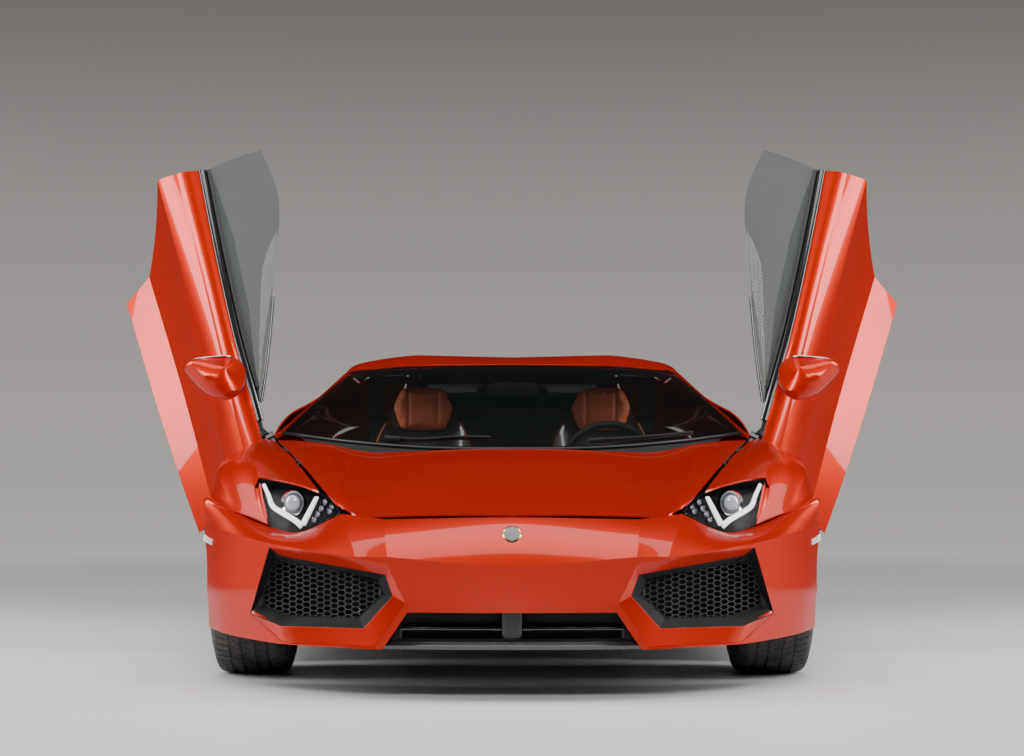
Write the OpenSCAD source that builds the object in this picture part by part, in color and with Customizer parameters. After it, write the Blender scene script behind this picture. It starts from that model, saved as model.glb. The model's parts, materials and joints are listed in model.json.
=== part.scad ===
/* [Body] */
// Length over the bumpers
car_length = 4780; // [4500:10:5100]
// Width over the rear wheel arches
car_width = 2030; // [1900:10:2150]
// Height of the roof above the ground
roof_height = 1136; // [1080:2:1220]
// Thickness of the outer body panels
panel_t = 12; // [8:1:16]
// Gap around every panel that opens
shut_gap = 6; // [5:0.5:8]
// Thickness of the window glass
glass_t = 6; // [4:0.5:8]

/* [Wheels] */
// Radius of the front tyres
front_tyre_r = 330; // [310:1:345]
// Width of the front tyres
front_tyre_w = 255; // [225:5:265]
// Radius of the rear tyres
rear_tyre_r = 354; // [330:1:370]
// Width of the rear tyres
rear_tyre_w = 330; // [285:5:335]
// Radius of the front rims
front_rim_r = 245; // [220:1:255]
// Radius of the rear rims
rear_rim_r = 258; // [230:1:270]
// Distance between the two front tyres' middles
front_track = 1720; // [1640:5:1740]
// Distance between the two rear tyres' middles
rear_track = 1680; // [1620:5:1700]
// Gap between a tyre's tread and its arch
arch_gap = 46; // [40:1:60]
// Radius of the brake discs
disc_r = 200; // [170:1:205]
// Thickness of the brake discs
disc_t = 34; // [24:1:38]

/* [Joints] */
// Angle that the doors stand open at
door_open = 72; // [60:1:80]
// Radius of the hub bearings
bearing_r = 30; // [24:1:36]
// Radius of the door hinges' pins
hinge_r = 8; // [6:0.5:10]
// Clearance of a shaft in its bearing
bearing_fit = 0.05; // [0.02:0.01:0.08]
// Radius of the steering pins
kingpin_r = 12; // [10:1:14]
// How far the steering axis lies inboard of the tyre's middle
kingpin_in = 60; // [50:1:70]
// Radius of the tow eyes' threaded holes
tow_r = 8; // [6:0.5:10]

/* [Cabin] */
// Height of the cabin floor's underside above the ground
floor_z = 130; // [110:5:150]
// Thickness of the cabin floor
floor_t = 40; // [30:2:50]
// Thickness of the doors below the window
door_t = 100; // [80:5:130]
// Distance from the middle of the car to the middle of a seat
seat_x = 365; // [330:5:390]

/* [Hidden] */
$fn = 64;

orange = "orangered";
black = "#1c1c1f";

// The body's lines are drawn for these sizes and scaled to the ones above
drawn = [2030, 4780, 1136];
k = [car_width / drawn[0], car_length / drawn[1], roof_height / drawn[2]];
front_axle = [0, -1380 * k[1], front_tyre_r];
rear_axle = [0, 1320 * k[1], rear_tyre_r];
front_arch_r = front_tyre_r + arch_gap;
rear_arch_r = rear_tyre_r + arch_gap;
door_hinge = sized([900, -700, 790]);
door_axis = [0.877, -0.183, -0.444];
hood_hinge = sized([0, -655, 745]);
cover_hinge = sized([0, 702, 1058]);
lid_pin_r = 6;
lid_fit = 0.3;
lug_x = 831 * k[0];
cover_lug_x = 380;
post_x = 700 * k[0];
sill_x = 840 * k[0];
seat_gap = 0.3;
lamp_gap = 1.8;
tub_front = -930 * k[1];
tub_rear = 640 * k[1];
rail_z = 230;
rail_h = 100;
tow_x = 80;
tow_rear_x = 300;
tow_z = rail_z + 18;
tow_depth = 45;
kingpin = [front_track / 2 - kingpin_in, front_axle[1], 0];
rear_pin = [rear_track / 2 - 80, rear_axle[1], 0];

// ---- curves and panels ----

function sized(p) = [p[0] * k[0], p[1] * k[1], p[2] * k[2]];
function mix(a, b, t) = a + (b - a) * t;
function catmull(a, b, c, d, t) = 0.5 * (2 * b + (c - a) * t
    + (2 * a - 5 * b + 4 * c - d) * t * t + (3 * b - a - 3 * c + d) * t * t * t);
// The point at share u of the way along the smooth curve through the points p
function along(p, u) = let (n = len(p) - 1, s = min(u, 0.999999) * n, i = floor(s))
    catmull(p[max(i - 1, 0)], p[i], p[i + 1], p[min(i + 2, n)], s - i);
// A line of the body: n steps along the curve through p
function line(p, n) = [for (i = [0:n]) sized(along(p, i / n))];
// k lines from a to b, bulged by the vector g half way
function between(a, b, steps, g = [0, 0, 0]) = [for (j = [0:steps]) let (v = j / steps)
    [for (i = [0:len(a) - 1]) mix(a[i], b[i], v) + g * (4 * v * (1 - v))]];
// Strips of lines joined, with each shared line kept once
function strips(s) = [for (i = [0:len(s) - 1]) for (j = [(i == 0 ? 0 : 1):len(s[i]) - 1]) s[i][j]];
function moved(l, d) = [for (p = l) p + d];
function flip(p) = [-p[0], p[1], p[2]];
function back(l) = [for (i = [len(l) - 1:-1:0]) l[i]];
// A curve drawn from the middle to the left side, made whole across the car
function across(p) = concat([for (q = back(p)) flip(q)], [for (i = [1:len(p) - 1]) p[i]]);
// Lines drawn from the left side to the middle, made whole across the car
function both(r) = concat(r, [for (j = [len(r) - 2:-1:0]) [for (p = r[j]) flip(p)]]);

// A closed panel: outer lines r, and the vector d from each line to its inner side
module panel(r, d) {
    nu = len(r[0]);
    nv = len(r);
    m = nu * nv;
    outer = [for (l = r) for (p = l) p];
    inner = [for (j = [0:nv - 1]) for (i = [0:nu - 1])
        r[j][i] + (is_num(d[0]) ? d : is_num(d[j][0]) ? d[j] : d[j][i])];
    faces = concat(
        [for (j = [0:nv - 2]) for (i = [0:nu - 2]) let (a = j * nu + i)
            each [[a, a + nu + 1, a + 1], [a, a + nu, a + nu + 1],
                [m + a, m + a + 1, m + a + nu + 1], [m + a, m + a + nu + 1, m + a + nu]]],
        [for (i = [0:nu - 2]) let (a = i, b = (nv - 1) * nu + i)
            each [[a, a + 1, m + a + 1], [a, m + a + 1, m + a],
                [b, m + b + 1, b + 1], [b, m + b, m + b + 1]]],
        [for (j = [0:nv - 2]) let (a = j * nu, b = j * nu + nu - 1)
            each [[a, m + a + nu, a + nu], [a, m + a, m + a + nu],
                [b, b + nu, m + b + nu], [b, m + b + nu, m + b]]]);
    polyhedron(concat(outer, inner), faces);
}

module sides() {
    children();
    mirror([1, 0, 0]) children();
}
module right() { mirror([1, 0, 0]) children(); }
// A box from corner a to corner b
module block(a, b) { translate(a) cube(b - a); }
module rod(a, b, r) {
    v = b - a;
    translate(a) rotate([0, acos(v[2] / norm(v)), atan2(v[1], v[0])]) cylinder(h = norm(v), r = r);
}
module arch(axle, r) {
    translate([0, axle[1], axle[2]]) rotate([0, 90, 0]) cylinder(h = 2 * car_width, r = r, center = true);
}

down = [0, 0, -panel_t];
inward = [-panel_t, 0, 0];
slanted = [-panel_t * 0.7, 0, -panel_t * 0.7];

// ---- the body's lines, on the left side, front to back ----

hood_side = [[530, -2060, 563], [592, -1930, 615], [736, -1300, 718], [868, -640, 788]];
hood_middle = [[0, -2222, 547], [0, -1830, 632], [0, -1420, 702], [0, -1030, 752]];
hood_ridge = [[380, -2175, 545], [365, -1790, 633], [345, -1380, 698], [325, -1000, 745]];
hood_valley = [[440, -2140, 537], [450, -1750, 622], [465, -1330, 690], [480, -950, 740]];
hood_outer = [[480, -2105, 546], [545, -1790, 640], [610, -1300, 712], [640, -850, 768]];

glass_foot = [[0, -1010, 756], [300, -965, 760], [600, -820, 784], [846, -606, 817]];
glass_head = [[0, -62, 1087], [300, -40, 1084], [540, 26, 1074], [637, 86, 1064]];

roof_middle = [[0, -42, 1091], [0, 130, 1124], [0, 400, 1126], [0, 645.6, 1106]];
roof_bubble = [[340, -20, 1088], [380, 150, 1133], [385, 400, 1134], [370, 645.6, 1110]];
roof_edge = [[575, 55, 1074], [600, 160, 1103], [595, 400, 1108], [570, 645.6, 1090]];
roof_gutter = [[650, 104, 1064], [668, 200, 1066], [664, 400, 1062], [640, 645.6, 1040]];

door_top = [[915, -750, 784], [918, -560, 805], [925, -300, 832], [914, 40, 868], [893, 382, 902]];
window_top = [[884, -556, 812], [762, -150, 946], [684, 150, 1040], [688, 380, 1040]];

// ---- the fixed body ----

// A point on the door's hinge line, t along from its middle
function on_hinge(t) = door_hinge + door_axis / norm(door_axis) * t;

module tub() color(black) {
    half = 780 * k[0];
    top = floor_z + floor_t;
    sill_top = 330 * k[2];
    block([-half, tub_front, floor_z], [half, tub_rear, top]);
    block([-640 * k[0], tub_front, floor_z], [640 * k[0], tub_front + 40, 660 * k[2]]);
    block([-600 * k[0], tub_rear - 40, floor_z], [600 * k[0], tub_rear, 900 * k[2]]);
    block([-110, tub_front, floor_z], [110, tub_rear, 360 * k[2]]);
    sides() {
        block([half - 60, tub_front, floor_z], [sill_x, 420 * k[1], sill_top]);
        block([post_x, -790 * k[1], floor_z], [post_x + 70, -720 * k[1], 700 * k[2]]);
        block([post_x + 69, -790 * k[1], 560], [post_x + 100, -720 * k[1], 650 * k[2]]);
        rod([post_x + 88, -745 * k[1], 638 * k[2]], on_hinge(-19), 11);
        rod([post_x + 52, -735 * k[1], 690 * k[2]], hood_hinge + [lug_x - 25, 0, 0], 9);
        rod(hood_hinge + [lug_x - 31, 0, 0], hood_hinge + [lug_x + 25, 0, 0], lid_pin_r);
        rod(on_hinge(-34), on_hinge(-1), 16);
        rod(on_hinge(-20), on_hinge(30), hinge_r);
        block([540 * k[0], tub_rear - 38, 880 * k[2]], [600 * k[0], tub_rear - 2, 1064 * k[2]]);
        block([0, tub_rear - 38, 1034 * k[2]], [600 * k[0], tub_rear - 2, 1064 * k[2]]);
        block([cover_lug_x + 35, tub_rear - 10, 1040 * k[2]],
            [cover_lug_x + 50, cover_hinge[1] + 10, 1066 * k[2]]);
        rod(cover_hinge + [cover_lug_x - 5, 0, 0], cover_hinge + [cover_lug_x + 48, 0, 0], lid_pin_r);
    }
}

module subframes() color("dimgray") {
    front = -2240 * k[1];
    rear = 2150 * k[1];
    tower_f = [front_axle[1] - 200, front_axle[1] + 240];
    tower_r = [rear_axle[1] - 220, rear_axle[1] + 240];
    difference() {
        sides() {
            block([330, front, rail_z], [400, tub_front, rail_z + rail_h]);
            block([330, tower_f[0], rail_z], [400, tower_f[1], 470]);
            block([0, front, rail_z], [400, front + 60, rail_z + rail_h]);
            block([350, tub_rear, rail_z], [420, rear, rail_z + rail_h]);
            block([350, tower_r[0], rail_z], [420, tower_r[1], 520]);
            block([0, rear - 60, rail_z], [420, rear, rail_z + rail_h]);
        }
        translate([tow_x, front + tow_depth, tow_z]) rotate([90, 0, 0])
            cylinder(h = 2 * tow_depth, r = tow_r);
        translate([tow_rear_x, rear - tow_depth, tow_z]) rotate([-90, 0, 0])
            cylinder(h = 2 * tow_depth, r = tow_r);
        translate([0, rear_axle[1], rear_axle[2]]) rotate([0, 90, 0])
            cylinder(h = car_width, r = bearing_r + 12, center = true);
    }
}

module undertray() color(black) {
    t = 14;
    block([-395, -2240 * k[1], rail_z - t], [395, tub_front, rail_z]);
    block([-410, tub_rear, rail_z - t], [410, 1900 * k[1], rail_z]);
}

module luggage_tray() color(black) {
    a = [-420, -1900 * k[1], rail_z + rail_h];
    b = [420, -1130 * k[1], 560 * k[2]];
    w = 8;
    difference() {
        block(a + [90, 0, 0], b - [90, 0, 0]);
        block(a + [90 + w, w, w], b - [90 + w, w, -w]);
    }
}

module arch_liners() color(black) sides() {
    t = 4;
    x0 = 735 * k[0];
    foot = tub_front - front_axle[1] - seat_gap;
    room = [[400, -60], [395, 120], [300, 262], [150, front_tyre_r + 12]];
    back_room = [[foot - t, -60], [foot - t, -20], [395, 120], [300, 262], [150, front_tyre_r + 12]];
    shape = concat([for (p = room) [-p[0], p[1]]], back(back_room));
    translate([x0, front_axle[1], front_axle[2]]) rotate([90, 0, 90])
        linear_extrude(190 * k[0]) difference() {
        polygon([for (p = shape) p + t * [sign(p[0]), p[1] > 200 ? 1 : 0]]);
        polygon([for (p = shape) p[1] < -50 ? p - [0, 1] : p]);
    }
    deep = 394 * k[0];
    translate([610 * k[0], rear_axle[1], rear_axle[2]]) rotate([90, 0, 90]) difference() {
        cylinder(h = deep, r = rear_arch_r - seat_gap);
        translate([0, 0, -1]) cylinder(h = deep + 2, r = rear_arch_r - seat_gap - t);
        translate([-500, -1060, -1]) cube([1000, 1000, 400]);
    }
}

module front_bumper() color(orange) {
    top = [[0, -2240, 541], [390, -2193, 534], [524, -2088, 548], [656, -2008, 492], [762, -1904, 502],
        [882, -1830, 545], [986, -1729, 587]];
    crease = [[0, -2390, 402], [370, -2355, 427], [470, -2315, 426], [640, -2200, 445], [790, -2040, 466],
        [910, -1880, 492], [990, -1729, 520]];
    middle = [[0, -2376, 300], [370, -2342, 300], [470, -2300, 300], [640, -2190, 300], [800, -2030, 300],
        [925, -1870, 300], [990, -1729, 300]];
    bottom = [[0, -2350, 150], [406, -2338, 152], [520, -2270, 152], [690, -2150, 153], [810, -2010, 158],
        [915, -1860, 166], [975, -1729, 176]];
    n = 24;
    l = [for (p = [bottom, middle, crease, top]) line(across(p), n)];
    in = [for (i = [0:n]) let (a = 180 * i / n) [cos(a) * panel_t, sin(a) * panel_t, 0]];
    difference() {
        panel(strips([between(l[0], l[1], 2), between(l[1], l[2], 2),
            between(l[2], l[3], 3, [0, -10, 8])]), [for (j = [0:7]) in]);
        arch(front_axle, front_arch_r);
        sides() along_y(-2600, 1100) polygon([[374, 378], [350, 312], [440, 205], [705, 200],
            [812, 240], [716, 424]]);
        along_y(-2600, 1100) polygon([[-310, 262], [310, 262], [398, 130], [-398, 130]]);
    }
}

// A prism along the car over an outline drawn as seen from the front
module along_y(y, length) {
    translate([0, y * k[1], 0]) rotate([90, 0, 0]) mirror([0, 0, 1]) linear_extrude(length * k[1])
        scale([k[0], k[2]]) children();
}

module front_splitter() color(black) {
    along_y(-2335, 95) polygon([[-378, 151], [378, 151], [355, 184], [-355, 184]]);
    block([-50, -2285 * k[1], 183 * k[2]], [50, -2240.3 * k[1], 300]);
    block([-330, -2285 * k[1], 203 * k[2]], [330, -2262 * k[1], 216 * k[2]]);
}

module front_intakes() color(black) sides() {
    grille = [[352, -2275], [470, -2235], [640, -2117], [800, -1982], [792, -1972], [632, -2105],
        [466, -2223], [348, -2263]];
    translate([0, 0, 205 * k[2]]) linear_extrude(214 * k[2]) scale([k[0], k[1]]) polygon(grille);
    block([356, -2262 * k[1], 236], [396 * k[0], -2240 * k[1], 324]);
}

module front_fender() color(orange) {
    n = 14;
    rear = -757;
    foot = moved(line([[960, -1728, 200], [985, -1380, 200], [990, -1100, 200], [982, -808, 200]], n),
        [0, 0, seat_gap]);
    flank = line([[990, -1728, 400], [1004, -1380, 400], [985, -1100, 400], [952, -797, 400]], n);
    low = line([[990, -1728, 591], [1002, -1380, 596], [992, -1100, 594], [977, rear, 598]], n);
    waist = line([[886, -1824, 550], [958, -1630, 664], [975, -1380, 700], [968, -1100, 694],
        [955, rear, 700]], n);
    cheek = line([[770, -1895, 512], [880, -1640, 694], [912, -1380, 744], [928, -1100, 750],
        [938, rear, 752]], n);
    crown = line([[816, -1745, 658], [846, -1560, 720], [866, -1380, 762], [880, -1100, 780],
        [915, rear, 788]], n);
    inner = line([[606, -1924, 616], [742, -1300, 718], [820, -920, 756], [852, rear, 775]], n);
    difference() {
        panel(strips([between(foot, flank, 2), between(flank, low, 2), between(low, waist, 2, [8, 0, 0]),
            between(waist, cheek, 2, [6, 0, 6]), between(cheek, crown, 2, [4, 0, 4]),
            between(crown, inner, 3, [0, 0, 8])]),
            [inward, inward, inward, inward, inward, inward, inward, slanted, slanted, slanted,
                down, down, down, down]);
        arch(front_axle, front_arch_r);
    }
}

module headlights() color("white") sides() {
    n = 8;
    top = line([[540, -2048, 546], [600, -1928, 600], [700, -1836, 624], [808, -1750, 644]], n);
    bottom = line([[544, -2056, 541], [658, -1992, 501], [757, -1892, 510], [808, -1756, 634]], n);
    panel(between(bottom, top, 3, [0, -4, 3]), [0, 18, -6]);
}

module pillars() color(orange) sides() {
    n = 8;
    in = line([[852, -612, 812], [790, -390, 889], [718, -150, 975], [651, 97, 1062]], n);
    out = line([[880, -612, 800], [818, -390, 872], [748, -150, 956], [675, 124, 1050]], n);
    panel(between(out, in, 1), slanted * 2);
}

module windshield() color("#30363a", 0.5) {
    n = 16;
    foot = line(across(glass_foot), n);
    head = line(across(glass_head), n);
    panel(between(foot, head, 6, [0, -6, 10]), [0, 1, -glass_t]);
}

module roof() color(orange) {
    n = 8;
    gutter = line(roof_gutter, n);
    edge = line(roof_edge, n);
    bubble = line(roof_bubble, n);
    middle = line(roof_middle, n);
    half = strips([between(gutter, edge, 2, [6, 0, 6]), between(edge, bubble, 2, [0, 0, 4]),
        between(bubble, middle, 2)]);
    panel(both(half), down);
}

module cowl() color(black) {
    n = 16;
    fore = line(across([[0, -1018, 730], [325, -987, 726], [480, -937, 724], [620, -856, 740],
        [715, -776, 752]]), n);
    half = [for (i = [0:4]) along(glass_foot, 0.84 * i / 4)];
    aft = moved(line(across(half), n), [0, 4, 0.2 - glass_t]);
    panel(between(fore, aft, 1), [0, 0, -8]);
}

module dashboard() color(black) {
    block([-post_x, -880 * k[1], 560 * k[2]], [post_x, -560 * k[1], 700 * k[2]]);
}

module steering_wheel() color(black) {
    translate([seat_x, -420 * k[1], 690 * k[2]]) rotate([-68, 0, 0]) {
        rotate_extrude() translate([170, 0]) circle(r = 16);
        cylinder(h = 30, r = 50, center = true);
        for (a = [0, 90, 180]) rotate([0, 0, a]) translate([40, -15, -8]) cube([120, 30, 16]);
        column = 151 * k[1] - 10;
        translate([0, 0, -column]) cylinder(h = column, r = 24);
    }
}

module seat() color("darkred") {
    top = floor_z + floor_t;
    translate([seat_x, 0, top]) {
        block([-230, -260, 0], [230, 240, 110]);
        sides() block([160, -260, 109], [230, 220, 170]);
        hull() {
            block([-230, 180, 100], [230, 260, 130]);
            block([-170, 400, 660], [170, 450, 690]);
        }
        hull() {
            block([-85, 408, 660], [85, 450, 690]);
            block([-128, 380, 750], [128, 456, 770]);
            block([-95, 400, 835], [95, 446, 845]);
        }
        sides() hull() {
            block([180, 80, 160], [230, 180, 200]);
            block([170, 360, 520], [200, 400, 540]);
        }
    }
}

module rear_window() color("#30363a", 0.5) {
    block([-400, 640 * k[1], 880 * k[2]], [400, 648 * k[1], 1080 * k[2]]);
}

module rear_fender() color(orange) {
    n = 16;
    low = line([[985, 560, 300], [1005, 800, 300], [1015, 1320, 300], [990, 1800, 300], [930, 2120, 300]], n);
    side = line([[985, 520, 560], [1008, 800, 560], [1015, 1320, 580], [1000, 1800, 570], [930, 2150, 560]],
        n);
    crease = line([[1000, 440, 770], [1005, 800, 790], [1012, 1320, 805], [985, 1800, 800],
        [905, 2190, 790]], n);
    haunch = line([[900, 390, 915], [900, 800, 922], [905, 1320, 925], [870, 1800, 905], [790, 2200, 880]],
        n);
    ridge = line([[672, 404, 1063], [672, 800, 1030], [690, 1320, 985], [690, 1800, 945], [660, 2200, 915]],
        n);
    brow = line([[649, 647, 1041], [655, 900, 1016], [676, 1320, 984], [678, 1800, 946], [648, 2200, 916]],
        n);
    inner = line([[440, 647, 1102], [462, 960, 1064], [490, 1320, 1020], [505, 1700, 970],
        [515, 2200, 918]], n);
    difference() {
        panel(strips([between(low, side, 2), between(side, crease, 2),
            between(crease, haunch, 2, [12, 0, 12]),
            between(haunch, ridge, 2, [0, 0, -10]), between(ridge, brow, 1),
            between(brow, inner, 2, [0, 0, 8])]),
            [inward, inward, inward, inward, inward, slanted, slanted, slanted, slanted, down, down, down]);
        arch(rear_axle, rear_arch_r);
    }
}

module side_intakes() color(black) sides() {
    skin_x = 980 * k[0] - panel_t;
    translate([0, 0, 232]) linear_extrude(470) scale([1, k[1]])
        polygon([[sill_x + 12, 262], [sill_x + 18, 405], [skin_x, 552], [skin_x - 12, 560],
            [sill_x + 6, 412], [sill_x + seat_gap, 262]]);
}

module side_skirts() color(black) sides() {
    y0 = -985 * k[1];
    y1 = 900 * k[1];
    block([840 * k[0], y0, floor_z + 5], [985 * k[0], y1, 200 * k[2]]);
}

tail_low = [[0, 2377, 520], [500, 2357, 510], [800, 2277, 500], [934, 2159, 480]];
tail_edge = [[0, 2327, 800], [500, 2312, 790], [760, 2273, 780], [922, 2197, 706]];
// A line of the tail panel, its skin just behind the rear fenders' ends
function tail(p, n) = moved(line(across(p), n), [0, panel_t + 1, 0]);

module rear_bumper() color(orange) {
    n = 24;
    top = tail([[0, 2200, 921], [500, 2200, 905], [700, 2200, 890], [862, 2205, 830]], n);
    edge = tail(tail_edge, n);
    low = tail(tail_low, n);
    bottom = tail([[0, 2357, 330], [500, 2337, 320], [800, 2257, 310], [933, 2129, 300]], n);
    difference() {
        panel([for (l = concat(between(bottom, low, 2), between(low, edge, 2),
            between(edge, top, 2))) back(l)],
            [0, -panel_t, 0]);
        along_y(1900, 700) polygon([[-170, 345], [170, 345], [190, 500], [-190, 500]]);
        sides() along_y(1900, 700) polygon([[300, 370], [720, 390], [800, 560], [300, 560]]);
        along_y(1900, 700) polygon([[-760, 640], [760, 640], [800, 740], [-800, 740]]);
    }
}

module diffuser() color(black) {
    block([-700 * k[0], 1900 * k[1], 216], [700 * k[0], 2300 * k[1], 230]);
    for (i = [-2:2]) block([i * 240 - 6, 1950 * k[1], 130], [i * 240 + 6, 2300 * k[1], 217]);
}

module taillights() color("red") sides() {
    n = 24;
    low = tail(tail_low, n);
    edge = tail(tail_edge, n);
    strip = [for (v = [0.38, 0.5, 0.84])
        [for (i = [17:22]) mix(low[i], edge[i], v) - [0, panel_t + lamp_gap, 0]]];
    panel([for (l = strip) back(l)], [0, -20, 0]);
}

module exhaust() color("dimgray") {
    difference() {
        block([-150, 2150 * k[1], 352], [150, 2385 * k[1], 452]);
        block([-138, 2250 * k[1], 364], [138, 2386 * k[1], 440]);
    }
    sides() rod([90, 1500 * k[1] + seat_gap, 402], [90, 2150 * k[1] + 1, 402], 38);
}

module engine_block() color("gray") {
    block([-310, 700 * k[1], 230], [310, 1500 * k[1], 760]);
}

module wishbone(x_in, pin, z, r) {
    eye = [pin[0], pin[1], z];
    difference() {
        union() {
            for (s = [-1, 1]) rod(eye + [-14, s * 10, 0], [x_in, pin[1] + s * 150, z - 20], r);
            translate(eye) cylinder(h = 24, r = 26, center = true);
        }
        translate(eye) cylinder(h = 60, r = kingpin_r + bearing_fit, center = true);
        translate([x_in - 60, pin[1] - 300, z - 60]) cube([60, 600, 120]);
    }
}

// A brake caliper round the back of a disc, open towards the hub
module caliper(track, axle) {
    translate([track / 2 - 22 + disc_t / 2, axle[1], axle[2]]) rotate([0, 90, 0]) difference() {
        rotate([0, 0, 60]) rotate_extrude(angle = 60) translate([disc_r - 75, -disc_t / 2 - 24])
            square([75 + 18, disc_t + 48]);
        cylinder(h = disc_t + 12, r = disc_r + 6, center = true);
    }
}

module suspension() color("silver") sides() {
    wishbone(400, kingpin, front_axle[2] + 120, 10);
    wishbone(400, kingpin, front_axle[2] - 70, 10);
    wishbone(420, rear_pin, rear_axle[2] + 130, 11);
    wishbone(420, rear_pin, rear_axle[2] - 100, 11);
    x = rear_pin[0];
    y = rear_axle[1];
    z = rear_axle[2];
    difference() {
        union() {
            block([x - 28, y - 55, z - 86], [x + 28, y + 55, z + 116]);
            for (s = [130, -100]) translate([x, y, z + s]) cylinder(h = 30, r = kingpin_r, center = true);
            block([x - 10, y + 54, z - 30], [x + 50, y + 140, z + 30]);
            caliper(rear_track, rear_axle);
        }
        translate([x - 100, y, z]) rotate([0, 90, 0]) cylinder(h = 300, r = bearing_r + bearing_fit);
    }
}

module front_knuckle() color("silver") {
    x = kingpin[0];
    y = front_axle[1];
    z = front_axle[2];
    block([x - 25, y - 50, z - 56], [x + 28, y + 50, z + 106]);
    for (s = [120, -70]) translate([x, y, z + s]) cylinder(h = 30, r = kingpin_r, center = true);
    translate([x + 20, y, z]) rotate([0, 90, 0]) cylinder(h = 110, r = bearing_r);
    block([x - 5, y + 49, z - 30], [x + 28, y + 140, z + 30]);
    caliper(front_track, front_axle);
}

// ---- pieces that move ----

// A lid's hinge lug, hanging from its skin down round the pin
module lug(hinge, x, width, reach, up) {
    translate([x, hinge[1], hinge[2]]) difference() {
        union() {
            rotate([0, 90, 0]) cylinder(h = width, r = 2 * lid_pin_r);
            translate([0, -lid_pin_r, 0]) cube([width, reach, up]);
        }
        translate([-1, 0, 0]) rotate([0, 90, 0]) cylinder(h = width + 2, r = lid_pin_r + lid_fit);
    }
}

module hood() color(orange) {
    n = 12;
    g = [-shut_gap - 1, 0, -1];
    side = moved(line(hood_side, n), g);
    outer = line(hood_outer, n);
    valley = line(hood_valley, n);
    ridge = line(hood_ridge, n);
    middle = line(hood_middle, n);
    half = strips([between(side, outer, 2, [0, 0, 4]), between(outer, valley, 2, [0, 0, -4]),
        between(valley, ridge, 1), between(ridge, middle, 2, [0, 0, 3])]);
    panel(both(half), down);
    sides() lug(hood_hinge, lug_x, 20, 12, 34);
}

module engine_cover() color(orange) {
    n = 10;
    side = line([[432, 692, 1094], [454, 960, 1062], [482, 1320, 1014], [497, 1700, 964], [507, 2193, 912]],
        n);
    middle = line([[0, 692, 1101], [0, 960, 1075], [0, 1320, 1030], [0, 1700, 980], [0, 2193, 925]], n);
    panel(both(between(side, middle, 3, [0, 0, 4])), down);
    sides() lug(cover_hinge, cover_lug_x, 22, 12, 31);
}

// Turns a piece drawn on the closed door to the open door
module on_door() {
    translate(door_hinge) rotate(a = door_open, v = door_axis) translate(-door_hinge) children();
}

module door_panel() {
    n = 12;
    front = -750;
    low = line([[982, -801, 215], [990, -600, 210], [1000, -250, 212], [1005, 200, 225]], n);
    fold = line([[955, -790, 335], [948, -600, 338], [940, -250, 345], [950, 235, 370]], n);
    crease = line([[977, front, 598], [980, -560, 630], [985, -250, 680], [1000, 432, 765]], n);
    waist = line([[955, front, 700], [962, -560, 735], [965, -250, 785], [957, 405, 850]], n);
    top = line(door_top, n);
    depth = [for (i = [0:n]) [-mix(28, door_t, max(0, min(1, (i - 2.3) / 5, 0.4 + (n - i) / 4))), 0, 0]];
    panel(strips([between(low, fold, 2), between(fold, crease, 2, [-10, 0, 0]),
        between(crease, waist, 2, [5, 0, 0]),
        between(waist, top, 2, [8, 0, 8])]), [for (j = [0:8]) depth]);
}

module door() color(orange) on_door() difference() {
    union() {
        door_panel();
        rod(on_hinge(1), on_hinge(28), 16);
    }
    rod(on_hinge(-60), on_hinge(60), hinge_r + bearing_fit);
    rod(on_hinge(-90), on_hinge(0), 78);
}

module door_glass() color("#6f7672", 0.5) on_door() {
    sill = line(door_top, 12);
    foot = [for (i = [3:12]) sill[i] + [-34, 0, seat_gap]];
    panel(between(foot, line(window_top, 9), 4, [8, 0, 8]), [-glass_t, 0, 0]);
}

module mirror_housing() color(orange) on_door() {
    hull() {
        translate(sized([1080, -480, 865])) scale([1, 0.5, 0.6]) sphere(r = 92, $fn = 24);
        translate(sized([1000, -450, 858])) scale([0.5, 0.5, 0.7]) sphere(r = 70, $fn = 24);
    }
    difference() {
        rod(sized([912, -440, 808]), sized([1010, -450, 850]), 11);
        door_panel();
    }
}

module tyre(track, axle, r, w, rim) color("#161616") {
    c = min(40, (r - rim) / 2);
    bead = min(30, 0.36 * (r - rim));
    translate([track / 2, axle[1], axle[2]]) rotate([0, 90, 0]) rotate_extrude()
        polygon([[rim, -w / 2 + 18], [rim + bead, -w / 2], [r - c, -w / 2 + 2], [r - 8, -w / 2 + 18],
            [r, -w / 2 + c],
            [r, w / 2 - c], [r - 8, w / 2 - 18], [r - c, w / 2 - 2], [rim + bead, w / 2], [rim, w / 2 - 18]]);
}

module rim(track, axle, w, r) color("#2a2a2c") {
    rr = r - 0.2;
    translate([track / 2, axle[1], axle[2]]) rotate([0, 90, 0]) difference() {
        union() {
            rotate_extrude() polygon([[rr, -w / 2 + 18], [rr, w / 2 - 18], [rr - 14, w / 2 - 18],
                [rr - 22, 0], [rr - 14, -w / 2 + 18]]);
            translate([0, 0, w / 2 - 70]) cylinder(h = 34, r = 75);
            for (i = [0:4]) rotate([0, 0, i * 72 + 90]) for (s = [-14, 14]) rotate([0, 0, s])
                translate([60, -16, w / 2 - 66]) cube([rr - 76, 32, 26]);
        }
        translate([0, 0, -w]) cylinder(h = 2 * w, r = bearing_r + bearing_fit);
    }
}

module brake(track, axle, w, shaft) color("dimgray") {
    x = w / 2 - 70;
    translate([track / 2, axle[1], axle[2]]) rotate([0, 90, 0]) difference() {
        union() {
            translate([0, 0, -22]) cylinder(h = disc_t, r = disc_r);
            translate([0, 0, -22]) cylinder(h = x + 22, r = 70);
            if (shaft) translate([0, 0, 310.3 - track / 2]) cylinder(h = track / 2 - 300, r = bearing_r);
        }
        if (!shaft) translate([0, 0, -30]) cylinder(h = 300, r = bearing_r + bearing_fit);
    }
}

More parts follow.
